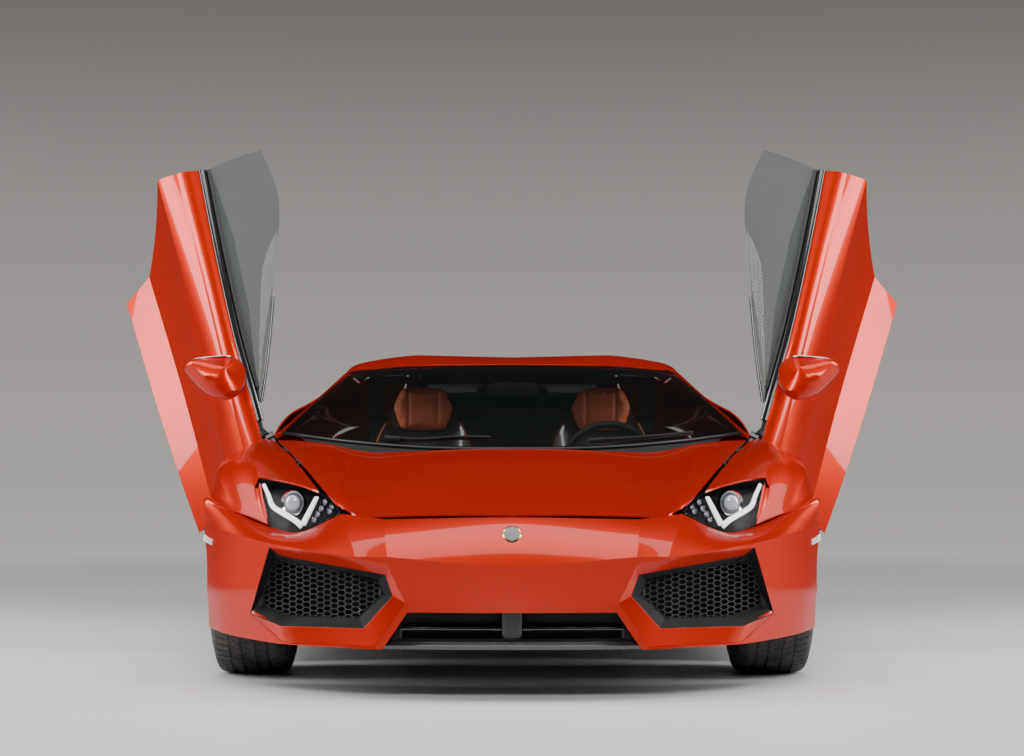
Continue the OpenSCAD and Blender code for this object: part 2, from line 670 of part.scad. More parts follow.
tub();
subframes();
undertray();
luggage_tray();
front_bumper();
front_splitter();
front_intakes();
front_fender();  // front_fender_left
right() front_fender();  // front_fender_right
headlights();
arch_liners();
pillars();
windshield();
roof();
cowl();
dashboard();
steering_wheel();
seat();  // seat_left
right() seat();  // seat_right
rear_window();
rear_fender();  // rear_fender_left
right() rear_fender();  // rear_fender_right
side_intakes();
side_skirts();
rear_bumper();
diffuser();
taillights();
exhaust();
engine_block();
suspension();
hood();
engine_cover();
door();  // door_left
door_glass();  // door_glass_left
mirror_housing();  // mirror_left
right() door();  // door_right
right() door_glass();  // door_glass_right
right() mirror_housing();  // mirror_right
front_knuckle();  // front_knuckle_left
right() front_knuckle();  // front_knuckle_right
rim(front_track, front_axle, front_tyre_w, front_rim_r);  // rim_front_left
right() rim(front_track, front_axle, front_tyre_w, front_rim_r);  // rim_front_right
rim(rear_track, rear_axle, rear_tyre_w, rear_rim_r);  // rim_rear_left
right() rim(rear_track, rear_axle, rear_tyre_w, rear_rim_r);  // rim_rear_right
tyre(front_track, front_axle, front_tyre_r, front_tyre_w, front_rim_r);  // tyre_front_left
right() tyre(front_track, front_axle, front_tyre_r, front_tyre_w, front_rim_r);  // tyre_front_right
tyre(rear_track, rear_axle, rear_tyre_r, rear_tyre_w, rear_rim_r);  // tyre_rear_left
right() tyre(rear_track, rear_axle, rear_tyre_r, rear_tyre_w, rear_rim_r);  // tyre_rear_right
brake(front_track, front_axle, front_tyre_w, false);  // brake_front_left
right() brake(front_track, front_axle, front_tyre_w, false);  // brake_front_right
brake(rear_track, rear_axle, rear_tyre_w, true);  // brake_rear_left
right() brake(rear_track, rear_axle, rear_tyre_w, true);  // brake_rear_right
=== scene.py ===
"""A two-seat supercar with its scissor doors open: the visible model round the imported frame.

Lengths are metres in the frame's own axes: +X to the car's left, +Y to its tail and +Z up.
A rail is a smooth curve through a few points, and a panel is a loft over several rails.
"""
import json
import logging
import math
from dataclasses import dataclass
from enum import StrEnum, auto
from functools import lru_cache
from typing import Iterable, Sequence

import bmesh
import bpy
import numpy as np
from mathutils import Matrix, Vector


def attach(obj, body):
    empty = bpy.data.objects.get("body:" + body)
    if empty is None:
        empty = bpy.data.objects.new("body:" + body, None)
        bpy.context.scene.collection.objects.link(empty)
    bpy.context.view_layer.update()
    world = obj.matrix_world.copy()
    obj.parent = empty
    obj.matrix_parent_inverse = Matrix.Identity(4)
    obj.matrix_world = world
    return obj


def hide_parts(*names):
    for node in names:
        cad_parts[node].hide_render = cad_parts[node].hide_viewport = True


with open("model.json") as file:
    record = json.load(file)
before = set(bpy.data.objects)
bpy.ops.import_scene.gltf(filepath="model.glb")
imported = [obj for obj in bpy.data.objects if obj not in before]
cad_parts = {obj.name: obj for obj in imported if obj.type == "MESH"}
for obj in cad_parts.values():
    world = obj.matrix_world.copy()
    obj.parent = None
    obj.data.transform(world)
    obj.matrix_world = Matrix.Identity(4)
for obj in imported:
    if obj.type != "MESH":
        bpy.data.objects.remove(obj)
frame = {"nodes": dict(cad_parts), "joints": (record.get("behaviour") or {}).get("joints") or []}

LOG = logging.getLogger("supercar")
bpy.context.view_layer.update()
SKIN = .006
FRONT_AXLE, FRONT_ARCH = (-1.38, .33), .376
REAR_AXLE, REAR_ARCH = (1.32, .354), .4
ORIGIN = (0.0, 0.0, 0.0)
DUST, DUST_ROUGHNESS = (.3, .27, .24), .85

Array = np.ndarray
Point = Sequence[float]
Rail = Sequence[Point]


# --- shapes ---


@dataclass
class Form:
    """A mesh held as arrays: its corner points and its faces, each a list of corner numbers."""

    points: Array
    faces: list

    def __add__(self, other: "Form") -> "Form":
        """Both forms as one mesh."""
        shift = len(self.points)
        moved = [[i + shift for i in face] for face in other.faces]
        return Form(np.vstack([self.points, other.points]), self.faces + moved)

    def mirrored(self) -> "Form":
        """The form on the car's other side: x changes sign and each face turns round."""
        return Form(self.points * (-1, 1, 1), [list(reversed(face)) for face in self.faces])

    def both(self) -> "Form":
        """The form with its mirrored twin."""
        return self + self.mirrored()

    def moved(self, step: Point) -> "Form":
        """The form shifted by a step."""
        return Form(self.points + np.asarray(step, float), self.faces)

    def turned(self, axis: Point, degrees: float, centre: Point = (0, 0, 0)) -> "Form":
        """The form turned by an angle about a line.

        Args:
            axis: the line's direction.
            degrees: the angle, right handed about the axis.
            centre: a point on the line.

        Returns:
            The turned form.
        """
        turn = np.array(Matrix.Rotation(math.radians(degrees), 3, Vector(axis)))
        c = np.asarray(centre, float)
        return Form((self.points - c) @ turn.T + c, self.faces)


def joined(forms: Iterable[Form]) -> Form:
    """All forms as one mesh."""
    forms = list(forms)
    starts = np.cumsum([0] + [len(f.points) for f in forms])
    faces = [[i + int(s) for i in face] for f, s in zip(forms, starts) for face in f.faces]
    return Form(np.vstack([f.points for f in forms]), faces)


def catmull(points: Rail, count: int) -> Array:
    """Points on the smooth curve through given points.

    Between two neighbours b and c, with a before and d after, the curve is the cubic
    (2b + (c-a)t + (2a-5b+4c-d)t^2 + (3b-a-3c+d)t^3) / 2.

    Args:
        points: the points that the curve goes through.
        count: how many points to return.

    Returns:
        A count x 3 array, evenly spaced in the curve's parameter.
    """
    p = np.asarray(points, float)
    last = len(p) - 1
    s = np.minimum(np.linspace(0, 1, count), .999999) * last
    i = np.floor(s).astype(int)
    t = (s - i)[:, None]
    a, b = p[np.maximum(i - 1, 0)], p[i]
    c, d = p[i + 1], p[np.minimum(i + 2, last)]
    return .5 * (2 * b + (c - a) * t + (2 * a - 5 * b + 4 * c - d) * t**2 + (3 * b - a - 3 * c + d) * t**3)


def creased(points: Rail, count: int, corners: Sequence[int]) -> Array:
    """A smooth curve through given points that turns sharply at some of them.

    Args:
        points: the points that the curve goes through.
        count: how many points to return.
        corners: numbers of the points where the curve has a corner.

    Returns:
        A count x 3 array, evenly spaced in the curve's parameter.
    """
    ends = [0, *corners, len(points) - 1]
    s = np.linspace(0, len(points) - 1, count)
    rows = []
    for a, b in zip(ends, ends[1:]):
        here = s[(s >= a) & ((s < b) | (b == ends[-1]))]
        fine = catmull(points[a:b + 1], 400) if b - a > 1 else straight(points[a:b + 1], 400)
        at = (here - a) / (b - a) * 399
        rows.append(np.stack([np.interp(at, np.arange(400), fine[:, k]) for k in range(3)], 1))
    return np.concatenate(rows)


def straight(points: Rail, count: int) -> Array:
    """Points spaced evenly along the broken line through given points, which keeps its corners sharp."""
    p = np.asarray(points, float)
    s = np.linspace(0, len(p) - 1, count)
    return np.stack([np.interp(s, np.arange(len(p)), p[:, k]) for k in range(p.shape[1])], 1)


def across(points: Rail) -> list:
    """A curve drawn from the middle to the left, made whole from right to left."""
    p = [tuple(q) for q in points]
    return [(-x, y, z) for x, y, z in reversed(p)] + p[1:]


def loft(rails: Sequence[Array], steps: Sequence[int], bulges: Sequence[Point] | None = None) -> Array:
    """A surface over rails: between two rails it is the straight blend plus bulge * 4v(1 - v).

    Args:
        rails: equally long lines of points.
        steps: rows between each rail and the next.
        bulges: how far each strip swells half way, as a vector.

    Returns:
        A rows x columns x 3 array.
    """
    bulges = bulges if bulges is not None else [(0, 0, 0)] * (len(rails) - 1)
    rows = [rails[0][None]]
    for a, b, n, g in zip(rails, rails[1:], steps, bulges):
        v = np.linspace(0, 1, n + 1)[1:, None, None]
        rows.append(a + (b - a) * v + np.asarray(g, float) * (4 * v * (1 - v)))
    return np.concatenate(rows)


def both_halves(surface: Array) -> Array:
    """Rows drawn from the left side to the middle, made whole across the car."""
    return np.concatenate([surface, surface[-2::-1] * (-1, 1, 1)])


def normals(surface: Array, centre: Point) -> Array:
    """The unit normal at each point of a surface, turned away from a centre.

    It is the cross product of the differences along both directions of the grid.
    """
    n = np.cross(np.gradient(surface, axis=1), np.gradient(surface, axis=0))
    n /= np.maximum(np.linalg.norm(n, axis=2, keepdims=True), 1e-12)
    out = np.sign(np.sum((surface - np.asarray(centre, float)) * n))
    return n * (out if out else 1)


def grid(surface: Array, close_rows: bool = False, close_columns: bool = False) -> Form:
    """The open or closed grid of a surface's points as four-sided faces."""
    rows, columns = surface.shape[:2]
    r = np.arange(rows if close_rows else rows - 1)
    c = np.arange(columns if close_columns else columns - 1)
    rr, cc = [x.ravel() for x in np.meshgrid(r, c, indexing="ij")]
    r2, c2 = (rr + 1) % rows, (cc + 1) % columns
    faces = np.stack([rr * columns + cc, rr * columns + c2, r2 * columns + c2, r2 * columns + cc], 1)
    return Form(surface.reshape(-1, 3).copy(), faces.tolist())


def shell(outer: Array, inner: Array) -> Form:
    """A closed sheet between an outer surface and an inner one, walled round its four edges."""
    rows, columns = outer.shape[:2]
    m = rows * columns
    top = np.asarray(grid(outer).faces)
    n = np.arange(m).reshape(rows, columns)
    rim = np.concatenate([n[0, :-1], n[:-1, -1], n[-1, :0:-1], n[:0:-1, 0]])
    after = np.roll(rim, -1)
    walls = np.stack([rim, rim + m, after + m, after], 1)
    faces = np.concatenate([top, top[:, ::-1] + m, walls])
    return Form(np.vstack([outer.reshape(-1, 3), inner.reshape(-1, 3)]), faces.tolist())


def skin(surface: Array, centre: Point, thickness: float = SKIN) -> Form:
    """A sheet of even thickness under a surface, measured along the surface's normals."""
    return shell(surface, surface - normals(surface, centre) * thickness)


def carry(profile: Rail, path: Rail, up: Point = (0, 0, 1), size: Array | float = 1.0,
        closed: bool = False) -> Form:
    """A closed flat profile carried along a path, with its ends capped.

    At each path point the profile's first axis is side = up x tangent and its second is
    tangent x side, both times the size there.

    Args:
        profile: corners of the profile, n x 2.
        path: points of the path, m x 3.
        up: the direction that the profile's second axis leans to.
        size: one factor for all the path or one per point.
        closed: whether the path joins its own start.

    Returns:
        The solid form.
    """
    profile, path = np.asarray(profile, float), np.asarray(path, float)
    ahead = np.roll(path, -1, 0) - np.roll(path, 1, 0) if closed else np.gradient(path, axis=0)
    ahead /= np.linalg.norm(ahead, axis=1, keepdims=True)
    side = np.cross(np.broadcast_to(np.asarray(up, float), ahead.shape), ahead)
    side /= np.maximum(np.linalg.norm(side, axis=1, keepdims=True), 1e-9)
    rise = np.cross(ahead, side)
    s = (np.broadcast_to(size, len(path)))[:, None, None]
    rings = path[:, None] + s * (profile[None, :, :1] * side[:, None] + profile[None, :, 1:] * rise[:, None])
    form = grid(rings, close_rows=closed, close_columns=True)
    if not closed:
        n, last = len(profile), (len(path) - 1) * len(profile)
        form.faces += [list(range(n))[::-1], list(range(last, last + n))]
    return form


def round_steps(count: int) -> Array:
    """Angles in even steps round a full turn."""
    return np.linspace(0, 2 * math.pi, count, endpoint=False)


def disc(sides: int, radius: float = 1.0) -> Array:
    """The corners of a regular polygon round the origin."""
    a = round_steps(sides)
    return np.stack([np.cos(a), np.sin(a)], 1) * radius


def oblong(width: float, height: float, corner: float, arc: int = 4) -> Array:
    """A rectangle with round corners, each a quarter circle of the corner radius."""
    a = np.linspace(0, math.pi / 2, arc)
    quarters = [np.stack([np.cos(a + q * math.pi / 2), np.sin(a + q * math.pi / 2)], 1) for q in range(4)]
    centres = [(1, 1), (-1, 1), (-1, -1), (1, -1)]
    half = (width / 2 - corner, height / 2 - corner)
    return np.concatenate([q * corner + np.multiply(c, half) for q, c in zip(quarters, centres)])


def tube(path: Rail, radius: Array | float, sides: int = 10, up: Point = (0, 0, 1),
        closed: bool = False) -> Form:
    """A round tube along a path."""
    return carry(disc(sides), path, up, radius, closed)


def turned_x(profile: Rail, centre: Point = ORIGIN, sides: int = 96, wobble: Array | None = None) -> Form:
    """A profile of (x, radius) pairs turned round the x axis: y = r cos a and z = r sin a.

    Args:
        profile: the closed profile, n x 2.
        centre: the point on the axis that x is measured from.
        sides: steps round the axis.
        wobble: sides x n changes of the radius, for tread.

    Returns:
        The closed ring.
    """
    profile = np.asarray(profile, float)
    a = round_steps(sides)[:, None]
    r = profile[None, :, 1] + (0 if wobble is None else wobble)
    x = np.broadcast_to(profile[None, :, 0], (sides, len(profile)))
    ring = np.stack([x, r * np.cos(a), r * np.sin(a)], 2) + np.asarray(centre, float)
    return grid(ring, close_rows=True, close_columns=True)


def prism(outline: Rail, axis: int, low: float, high: float) -> Form:
    """A straight solid over a flat outline.

    Args:
        outline: corners in the other two axes, in their order.
        axis: the axis that the solid runs along, 0 to 2.
        low: its start on that axis.
        high: its end on that axis.

    Returns:
        The solid form, with one face at each end.
    """
    o = np.asarray(outline, float)
    n = len(o)
    ends = [np.insert(o, axis, level, axis=1) for level in (low, high)]
    walls = [[i, (i + 1) % n, n + (i + 1) % n, n + i] for i in range(n)]
    return Form(np.vstack(ends), [list(range(n))[::-1], list(range(n, 2 * n))] + walls)


def brick(low: Point, high: Point) -> Form:
    """A box between two corners, to be rounded by a bevel."""
    (x0, y0, z0), (x1, y1, z1) = low, high
    return prism([(x0, y0), (x1, y0), (x1, y1), (x0, y1)], 2, z0, z1)


def pod(centre: Point, radii: Point, power: float = 2.4, rows: int = 24, columns: int = 40) -> Form:
    """A rounded closed body: a superellipsoid, |x/a|^p + |y/b|^p + |z/c|^p = 1."""
    v = np.linspace(-math.pi / 2, math.pi / 2, rows)[:, None]
    u = round_steps(columns)[None]
    e = 2 / power

    def soft(w: Array) -> Array:
        """A sine or cosine raised to the body's power, with its sign kept."""
        return np.sign(w) * np.abs(w) ** e

    body = np.stack([soft(np.cos(v)) * soft(np.cos(u)), soft(np.cos(v)) * soft(np.sin(u)),
        soft(np.sin(v)) * np.ones_like(u)], 2)
    return grid(body * np.asarray(radii, float) + np.asarray(centre, float), close_columns=True)


def inset(outline: Array, amount: float) -> Array:
    """An outline drawn in towards its middle, each corner moved by the amount along its bisector."""
    ahead = np.roll(outline, -1, 0) - outline
    ahead /= np.linalg.norm(ahead, axis=1, keepdims=True)
    behind = np.roll(ahead, 1, 0)
    turn = np.sign(np.sum(behind[:, 0] * ahead[:, 1] - behind[:, 1] * ahead[:, 0]))
    left_a = np.stack([-behind[:, 1], behind[:, 0]], 1) * turn
    left_b = np.stack([-ahead[:, 1], ahead[:, 0]], 1) * turn
    mid = left_a + left_b
    scale = 2 / np.maximum(np.sum(mid * mid, 1, keepdims=True), .3)
    return outline + mid * scale * amount


def within(points: Array, outline: Array) -> Array:
    """Whether each flat point lies in an outline: a ray to the right crosses it an odd number of times."""
    x, y = points[:, 0, None], points[:, 1, None]
    a, b = outline[None], np.roll(outline, -1, 0)[None]
    spans = (a[..., 1] > y) != (b[..., 1] > y)
    slope = (b[..., 0] - a[..., 0]) / np.where(b[..., 1] == a[..., 1], 1e-9, b[..., 1] - a[..., 1])
    return np.sum(spans & (x < slope * (y - a[..., 1]) + a[..., 0]), 1) % 2 == 1


def honeycomb(outline: Rail, width: float, height: float, wire: float, depth: float) -> Form:
    """A mesh of six-sided rings that fill an outline, drawn flat in x and z and facing -y.

    Args:
        outline: the area to fill, n x 2 in x and z.
        width: pitch of the cells along x.
        height: pitch of the cells along z.
        wire: thickness of each ring's wall.
        depth: depth of the mesh along y.

    Returns:
        All rings as one form.
    """
    outline = np.asarray(outline, float)
    low, high = outline.min(0), outline.max(0)
    columns = np.arange(low[0], high[0] + width, width * .75)
    rows = np.arange(low[1], high[1] + height, height)
    x, z = np.meshgrid(columns, rows)
    z = z + (np.arange(len(columns)) % 2) * height / 2
    centres = np.stack([x.ravel(), z.ravel()], 1)
    centres = centres[within(centres, outline)]
    cell = disc(6) * (width / 2, height / 2 / math.sin(math.pi / 3))
    shrink = 1 - 2 * wire / height
    loops = [(1.0, 0.0), (shrink, 0.0), (shrink, depth), (1.0, depth)]
    ring = np.array([[(s * cx, y, s * cz) for cx, cz in cell] for s, y in loops])
    one = grid(ring, close_rows=True, close_columns=True)
    shifts = np.stack([centres[:, 0], np.zeros(len(centres)), centres[:, 1]], 1)
    count = len(one.points)
    points = (one.points[None] + shifts[:, None]).reshape(-1, 3)
    faces = np.asarray(one.faces)[None] + (np.arange(len(centres)) * count)[:, None, None]
    return Form(points, faces.reshape(-1, 4).tolist())


# --- finishes ---


class Slot(StrEnum):
    """The record's material slots."""

    PAINT = auto()
    BLACK_GLOSS = auto()
    BLACK_SATIN = auto()
    CARBON = auto()
    WINDOW_GLASS = auto()
    WINDSHIELD_GLASS = auto()
    LAMP = auto()
    TAIL_LAMP = auto()
    INTERIOR = auto()
    SEAT_LEATHER = auto()
    FRAME_METAL = auto()
    STEEL = auto()
    RIM_PAINT = auto()
    TYRE = auto()
    EXHAUST_METAL = auto()


class Graph:
    """A node tree that is built with short calls."""

    def __init__(self, tree: bpy.types.NodeTree) -> None:
        """Keeps the tree to build in, and empties it."""
        self.tree = tree
        tree.nodes.clear()

    def add(self, kind: str, inputs: dict | None = None, **settings: object) -> bpy.types.Node:
        """Adds a node.

        Args:
            kind: the node's Blender type, without its ShaderNode prefix.
            inputs: input name or number to a value or to the output that feeds it.
            settings: the node's own properties.

        Returns:
            The new node.
        """
        node = self.tree.nodes.new(kind if kind.startswith("Node") else "ShaderNode" + kind)
        for name, value in settings.items():
            setattr(node, name, value)
        for key, value in (inputs or {}).items():
            if isinstance(value, bpy.types.NodeSocket):
                self.tree.links.new(value, node.inputs[key])
            else:
                node.inputs[key].default_value = value
        return node

    def number(self, operation: str, a: object, b: object = 0.0) -> bpy.types.NodeSocket:
        """The result of an operation on two values."""
        return self.add("Math", {0: a, 1: b}, operation=operation).outputs[0]

    def spread(self, value: object, low: float, high: float) -> bpy.types.NodeSocket:
        """A value from 0 to 1 laid out between two others."""
        return self.add("MapRange", {"Value": value, "To Min": low, "To Max": high}).outputs[0]

    def give(self, **values: bpy.types.NodeSocket) -> bpy.types.NodeTree:
        """Ends a node group: feeds its outputs and returns its tree."""
        sink = self.add("NodeGroupOutput")
        for key, value in values.items():
            self.tree.links.new(value, sink.inputs[key])
        return self.tree

    def use(self, group: bpy.types.NodeTree, where: bpy.types.NodeSocket, **numbers: float) -> bpy.types.Node:
        """Adds a shared group, placed by a vector and set by numbers."""
        return self.add("Group", {"Vector": where, **numbers}, node_tree=group)


def shared_group(name: str, inputs: dict[str, float], outputs: Sequence[str]) -> tuple:
    """Starts a node group with number sockets.

    Args:
        name: the group's name.
        inputs: each input's name and usual value.
        outputs: each output's name.

    Returns:
        A graph to build it with, its vector and its input node.
    """
    tree = bpy.data.node_groups.new(name, "ShaderNodeTree")
    tree.interface.new_socket("Vector", in_out="INPUT", socket_type="NodeSocketVector")
    for key, value in inputs.items():
        tree.interface.new_socket(key, in_out="INPUT", socket_type="NodeSocketFloat").default_value = value
    for key in outputs:
        tree.interface.new_socket(key, in_out="OUTPUT", socket_type="NodeSocketFloat")
    graph = Graph(tree)
    source = graph.add("NodeGroupInput")
    return graph, source.outputs["Vector"], source


@lru_cache(maxsize=None)
def grain_group() -> bpy.types.NodeTree:
    """Pebbled grain: the distance to scattered cells, softened by noise, as a height and a mask."""
    g, where, source = shared_group("pebble_grain", {"Scale": 400.0, "Soft": .5}, ["Height", "Mask"])
    cells = g.add("TexVoronoi", {"Vector": where, "Scale": source.outputs["Scale"]}, feature="DISTANCE_TO_EDGE")
    noise = g.add("TexNoise", {"Vector": where, "Detail": 4.0, "Scale": g.number("MULTIPLY",
        source.outputs["Scale"], .31)})
    edge = g.number("MULTIPLY", cells.outputs["Distance"], 2.2)
    height = g.add("Mix", {0: source.outputs["Soft"], 2: edge, 3: noise.outputs["Fac"]}).outputs[0]
    return g.give(Height=height, Mask=noise.outputs["Fac"])


@lru_cache(maxsize=None)
def dust_group() -> bpy.types.NodeTree:
    """Road dust: cloudy noise that thickens below a height, as a mask from 0 to 1."""
    g, where, source = shared_group("road_dust", {"Amount": .2, "Top": .5}, ["Mask"])
    height = g.add("SeparateXYZ", {0: where}).outputs["Z"]
    low = g.add("MapRange", {"Value": height, "From Min": 0.0, "From Max": source.outputs["Top"], "To Min": 1.0,
        "To Max": .08}).outputs[0]
    clouds = g.add("TexNoise", {"Vector": where, "Scale": 9.0, "Detail": 7.0, "Roughness": .62}).outputs["Fac"]
    patch = g.add("MapRange", {"Value": clouds, "From Min": .4, "From Max": .75}).outputs[0]
    mask = g.number("MULTIPLY", g.number("MULTIPLY", low, patch), source.outputs["Amount"])
    return g.give(Mask=mask)


@lru_cache(maxsize=None)
def flake_group() -> bpy.types.NodeTree:
    """Metal flakes and slight waviness in lacquer: random cells and slow noise, as masks and a height."""
    g, where, source = shared_group("lacquer", {"Flakes": 2600.0, "Peel": 160.0}, ["Flake", "Cloud", "Height"])
    cells = g.add("TexVoronoi", {"Vector": where, "Scale": source.outputs["Flakes"]})
    shade = g.add("SeparateColor", {0: cells.outputs["Color"]}).outputs[0]
    slow = g.add("TexNoise", {"Vector": where, "Scale": 2.2, "Detail": 2.0})
    peel = g.add("TexNoise", {"Vector": where, "Scale": source.outputs["Peel"], "Detail": 1.0})
    return g.give(Flake=shade, Cloud=slow.outputs["Fac"], Height=peel.outputs["Fac"])


@lru_cache(maxsize=None)
def weave_group() -> bpy.types.NodeTree:
    """Twill: two sets of tows that pass over two and under two, as a mask of which tow shows and a height.

    With i and j the whole numbers of the tows at a point, the first set shows where (i + j) mod 4 < 2.
    """
    g, where, source = shared_group("twill_weave", {"Scale": 250.0}, ["Mask", "Height"])
    axes = g.add("SeparateXYZ", {0: where})
    first = g.number("MULTIPLY", g.number("ADD", axes.outputs["X"], axes.outputs["Z"]), source.outputs["Scale"])
    second = g.number("MULTIPLY", g.number("ADD", axes.outputs["Y"], axes.outputs["Z"]),
        source.outputs["Scale"])
    steps = g.number("ADD", g.number("FLOOR", first), g.number("FLOOR", second))
    mask = g.number("LESS_THAN", g.number("FLOORED_MODULO", steps, 4.0), 2.0)
    arcs = [g.number("SINE", g.number("MULTIPLY", g.number("FRACT", axis), math.pi)) for axis in (first,
        second)]
    height = g.add("Mix", {0: mask, 2: arcs[0], 3: arcs[1]}).outputs[0]
    return g.give(Mask=mask, Height=height)


class Pattern(StrEnum):
    """The relief that a finish carries."""

    GRAIN = auto()
    LACQUER = auto()
    TWILL = auto()
    BRUSHED = auto()
    CLOUD = auto()


@dataclass(frozen=True)
class Finish:
    """A surface finish: its colours, its gloss and the relief in it.

    Attributes:
        name: what the maker calls it.
        slot: the record's slot that it stands for; not used.
        colour: its usual colour.
        second: the colour that it varies towards.
        rough: the range of its roughness.
        metal: how metallic it is.
        coat: weight of the clear coat on it.
        pattern: its relief.
        scale: how fine the relief is, in cells a metre.
        relief: how strong the relief is.
        dust: how much road dust lies on its low parts.
        alpha: how solid it is.
        glow: strength of its own light.
        tint: colour of its reflection at a grazing angle.
        shine: level of its plain reflection.
    """

    name: str
    slot: Slot
    colour: Point
    second: Point
    rough: Point = (.3, .4)
    metal: float = 0.0
    coat: float = 0.0
    pattern: Pattern = Pattern.CLOUD
    scale: float = 400.0
    relief: float = .1
    dust: float = 0.0
    alpha: float = 1.0
    glow: float = 0.0
    tint: Point = (1.0, 1.0, 1.0)
    shine: float = .5

    def _pattern(self, g: Graph, where: bpy.types.NodeSocket) -> tuple:
        """Adds the relief's nodes and returns its colour mask and its height."""
        shared = {Pattern.LACQUER: (flake_group, "Flakes"), Pattern.TWILL: (weave_group, "Scale"),
            Pattern.GRAIN: (grain_group, "Scale")}
        if self.pattern in shared:
            group, fineness = shared[self.pattern]
            node = g.use(group(), where, **{fineness: self.scale})
            if self.pattern is not Pattern.LACQUER:
                return node.outputs["Mask"], node.outputs["Height"]
            mask = g.add("Mix", {0: .55, 2: node.outputs["Cloud"], 3: node.outputs["Flake"]}).outputs[0]
            return mask, node.outputs["Height"]
        stretch = (1.0, 1.0, 14.0) if self.pattern is Pattern.BRUSHED else (1.0, 1.0, 1.0)
        placed = g.add("Mapping", {"Vector": where, "Scale": stretch})
        noise = g.add("TexNoise", {"Vector": placed.outputs[0], "Scale": self.scale * .2, "Detail": 5.0,
            "Roughness": .6})
        return noise.outputs["Fac"], noise.outputs["Fac"]

    def material(self) -> bpy.types.Material:
        """The finish as a Blender material, made once."""
        known = bpy.data.materials.get(self.name)
        if known:
            return known
        made = bpy.data.materials.new(self.name)
        made.use_nodes = True
        g = Graph(made.node_tree)
        where = g.add("TexCoord").outputs["Object"]
        mask, height = self._pattern(g, where)
        colour = g.add("Mix", {0: mask, 6: (*self.colour, 1), 7: (*self.second, 1)},
            data_type="RGBA").outputs[2]
        rough = g.spread(mask, *self.rough)
        if self.dust:
            veil = g.use(dust_group(), where, Amount=self.dust).outputs[0]
            colour = g.add("Mix", {0: veil, 6: colour, 7: (*DUST, 1)}, data_type="RGBA").outputs[2]
            rough = g.add("Mix", {0: veil, 2: rough, 3: DUST_ROUGHNESS}).outputs[0]
        bump = g.add("Bump", {"Height": height, "Strength": self.relief, "Distance": .001})
        inputs = {"Base Color": colour, "Roughness": rough, "Metallic": self.metal, "Coat Weight": self.coat,
            "Coat Roughness": .03, "Alpha": self.alpha, "Specular IOR Level": self.shine,
            "Specular Tint": (*self.tint, 1), "Normal": bump.outputs[0]}
        if self.glow:
            inputs |= {"Emission Color": colour, "Emission Strength": self.glow}
        shader = g.add("BsdfPrincipled", inputs)
        g.add("OutputMaterial", {"Surface": shader.outputs[0]})
        return made


PAINT = Finish("pearl_orange_paint", Slot.PAINT, (.4, .0065, .0002), (.54, .015, .0004), (.3, .4), .45, .4,
    Pattern.LACQUER, 2600.0, .012, 0.0, tint=(.9, .25, .12))
BLACK_GLOSS = Finish("black_lacquer", Slot.BLACK_GLOSS, (.008, .008, .009), (.014, .014, .016), (.1, .2), 0.0,
    .8, Pattern.LACQUER, 2600.0, .01, .06)
BLACK_SATIN = Finish("grained_black_plastic", Slot.BLACK_SATIN, (.012, .012, .013), (.022, .022, .024),
    (.42, .58), 0.0, 0.0, Pattern.GRAIN, 900.0, .25, .1, shine=.15)
MESH_BLACK = Finish("grille_black", Slot.BLACK_SATIN, (.02, .02, .022), (.035, .035, .037), (.3, .45), 0.0, .2,
    Pattern.CLOUD, 900.0, .1, .1, shine=.15)
CARBON = Finish("carbon_twill", Slot.CARBON, (.012, .012, .013), (.035, .035, .037), (.25, .4), 0.0, .6,
    Pattern.TWILL, 250.0, .15, .08)
SIDE_GLASS = Finish("tinted_side_glass", Slot.WINDOW_GLASS, (.1, .112, .107), (.115, .128, .122), (.02, .05),
    0.0, 0.0, Pattern.CLOUD, 40.0, .005, alpha=.55, shine=.12)
SCREEN_GLASS = Finish("dark_windscreen_glass", Slot.WINDSHIELD_GLASS, (.006, .008, .008), (.01, .012, .012),
    (.02, .05), 0.0, 0.0, Pattern.CLOUD, 40.0, .005, alpha=.32)
LENS = Finish("clear_lamp_lens", Slot.LAMP, (.015, .016, .017), (.02, .021, .022), (.01, .03), 0.0, .3,
    Pattern.CLOUD, 60.0, .004, alpha=.03)
LAMP_BLACK = Finish("lamp_bezel_black", Slot.LAMP, (.003, .003, .0035), (.007, .007, .008), (.4, .55), 0.0, 0.0,
    Pattern.GRAIN, 1500.0, .05, shine=.06)
LIGHT_BAR = Finish("light_guide", Slot.LAMP, (.62, .68, .66), (.74, .78, .76), (.2, .3), 0.0, .2, Pattern.GRAIN,
    700.0, .2, glow=1.1)
REFLECTOR = Finish("bright_reflector", Slot.LAMP, (.42, .42, .45), (.58, .58, .61), (.08, .16), 1.0, 0.0,
    Pattern.CLOUD, 300.0, .03)
BULB = Finish("projector_glass", Slot.LAMP, (.3, .31, .35), (.44, .45, .5), (.03, .07), .2, 1.0, Pattern.CLOUD,
    200.0, .01, glow=.45)
TAIL_RED = Finish("tail_lamp_red", Slot.TAIL_LAMP, (.5, .008, .006), (.7, .02, .012), (.08, .16), 0.0, 1.0,
    Pattern.GRAIN, 500.0, .1, glow=.5)
TRIM = Finish("black_trim_leather", Slot.INTERIOR, (.014, .014, .015), (.028, .027, .027), (.48, .62), 0.0, 0.0,
    Pattern.GRAIN, 650.0, .5)
RUST_LEATHER = Finish("rust_seat_leather", Slot.SEAT_LEATHER, (.5, .095, .028), (.62, .13, .04), (.42, .58),
    0.0, 0.0, Pattern.GRAIN, 600.0, .55)
THREAD = Finish("rust_thread", Slot.SEAT_LEATHER, (.62, .15, .05), (.75, .22, .08), (.6, .75), 0.0, 0.0,
    Pattern.GRAIN, 3000.0, .5)
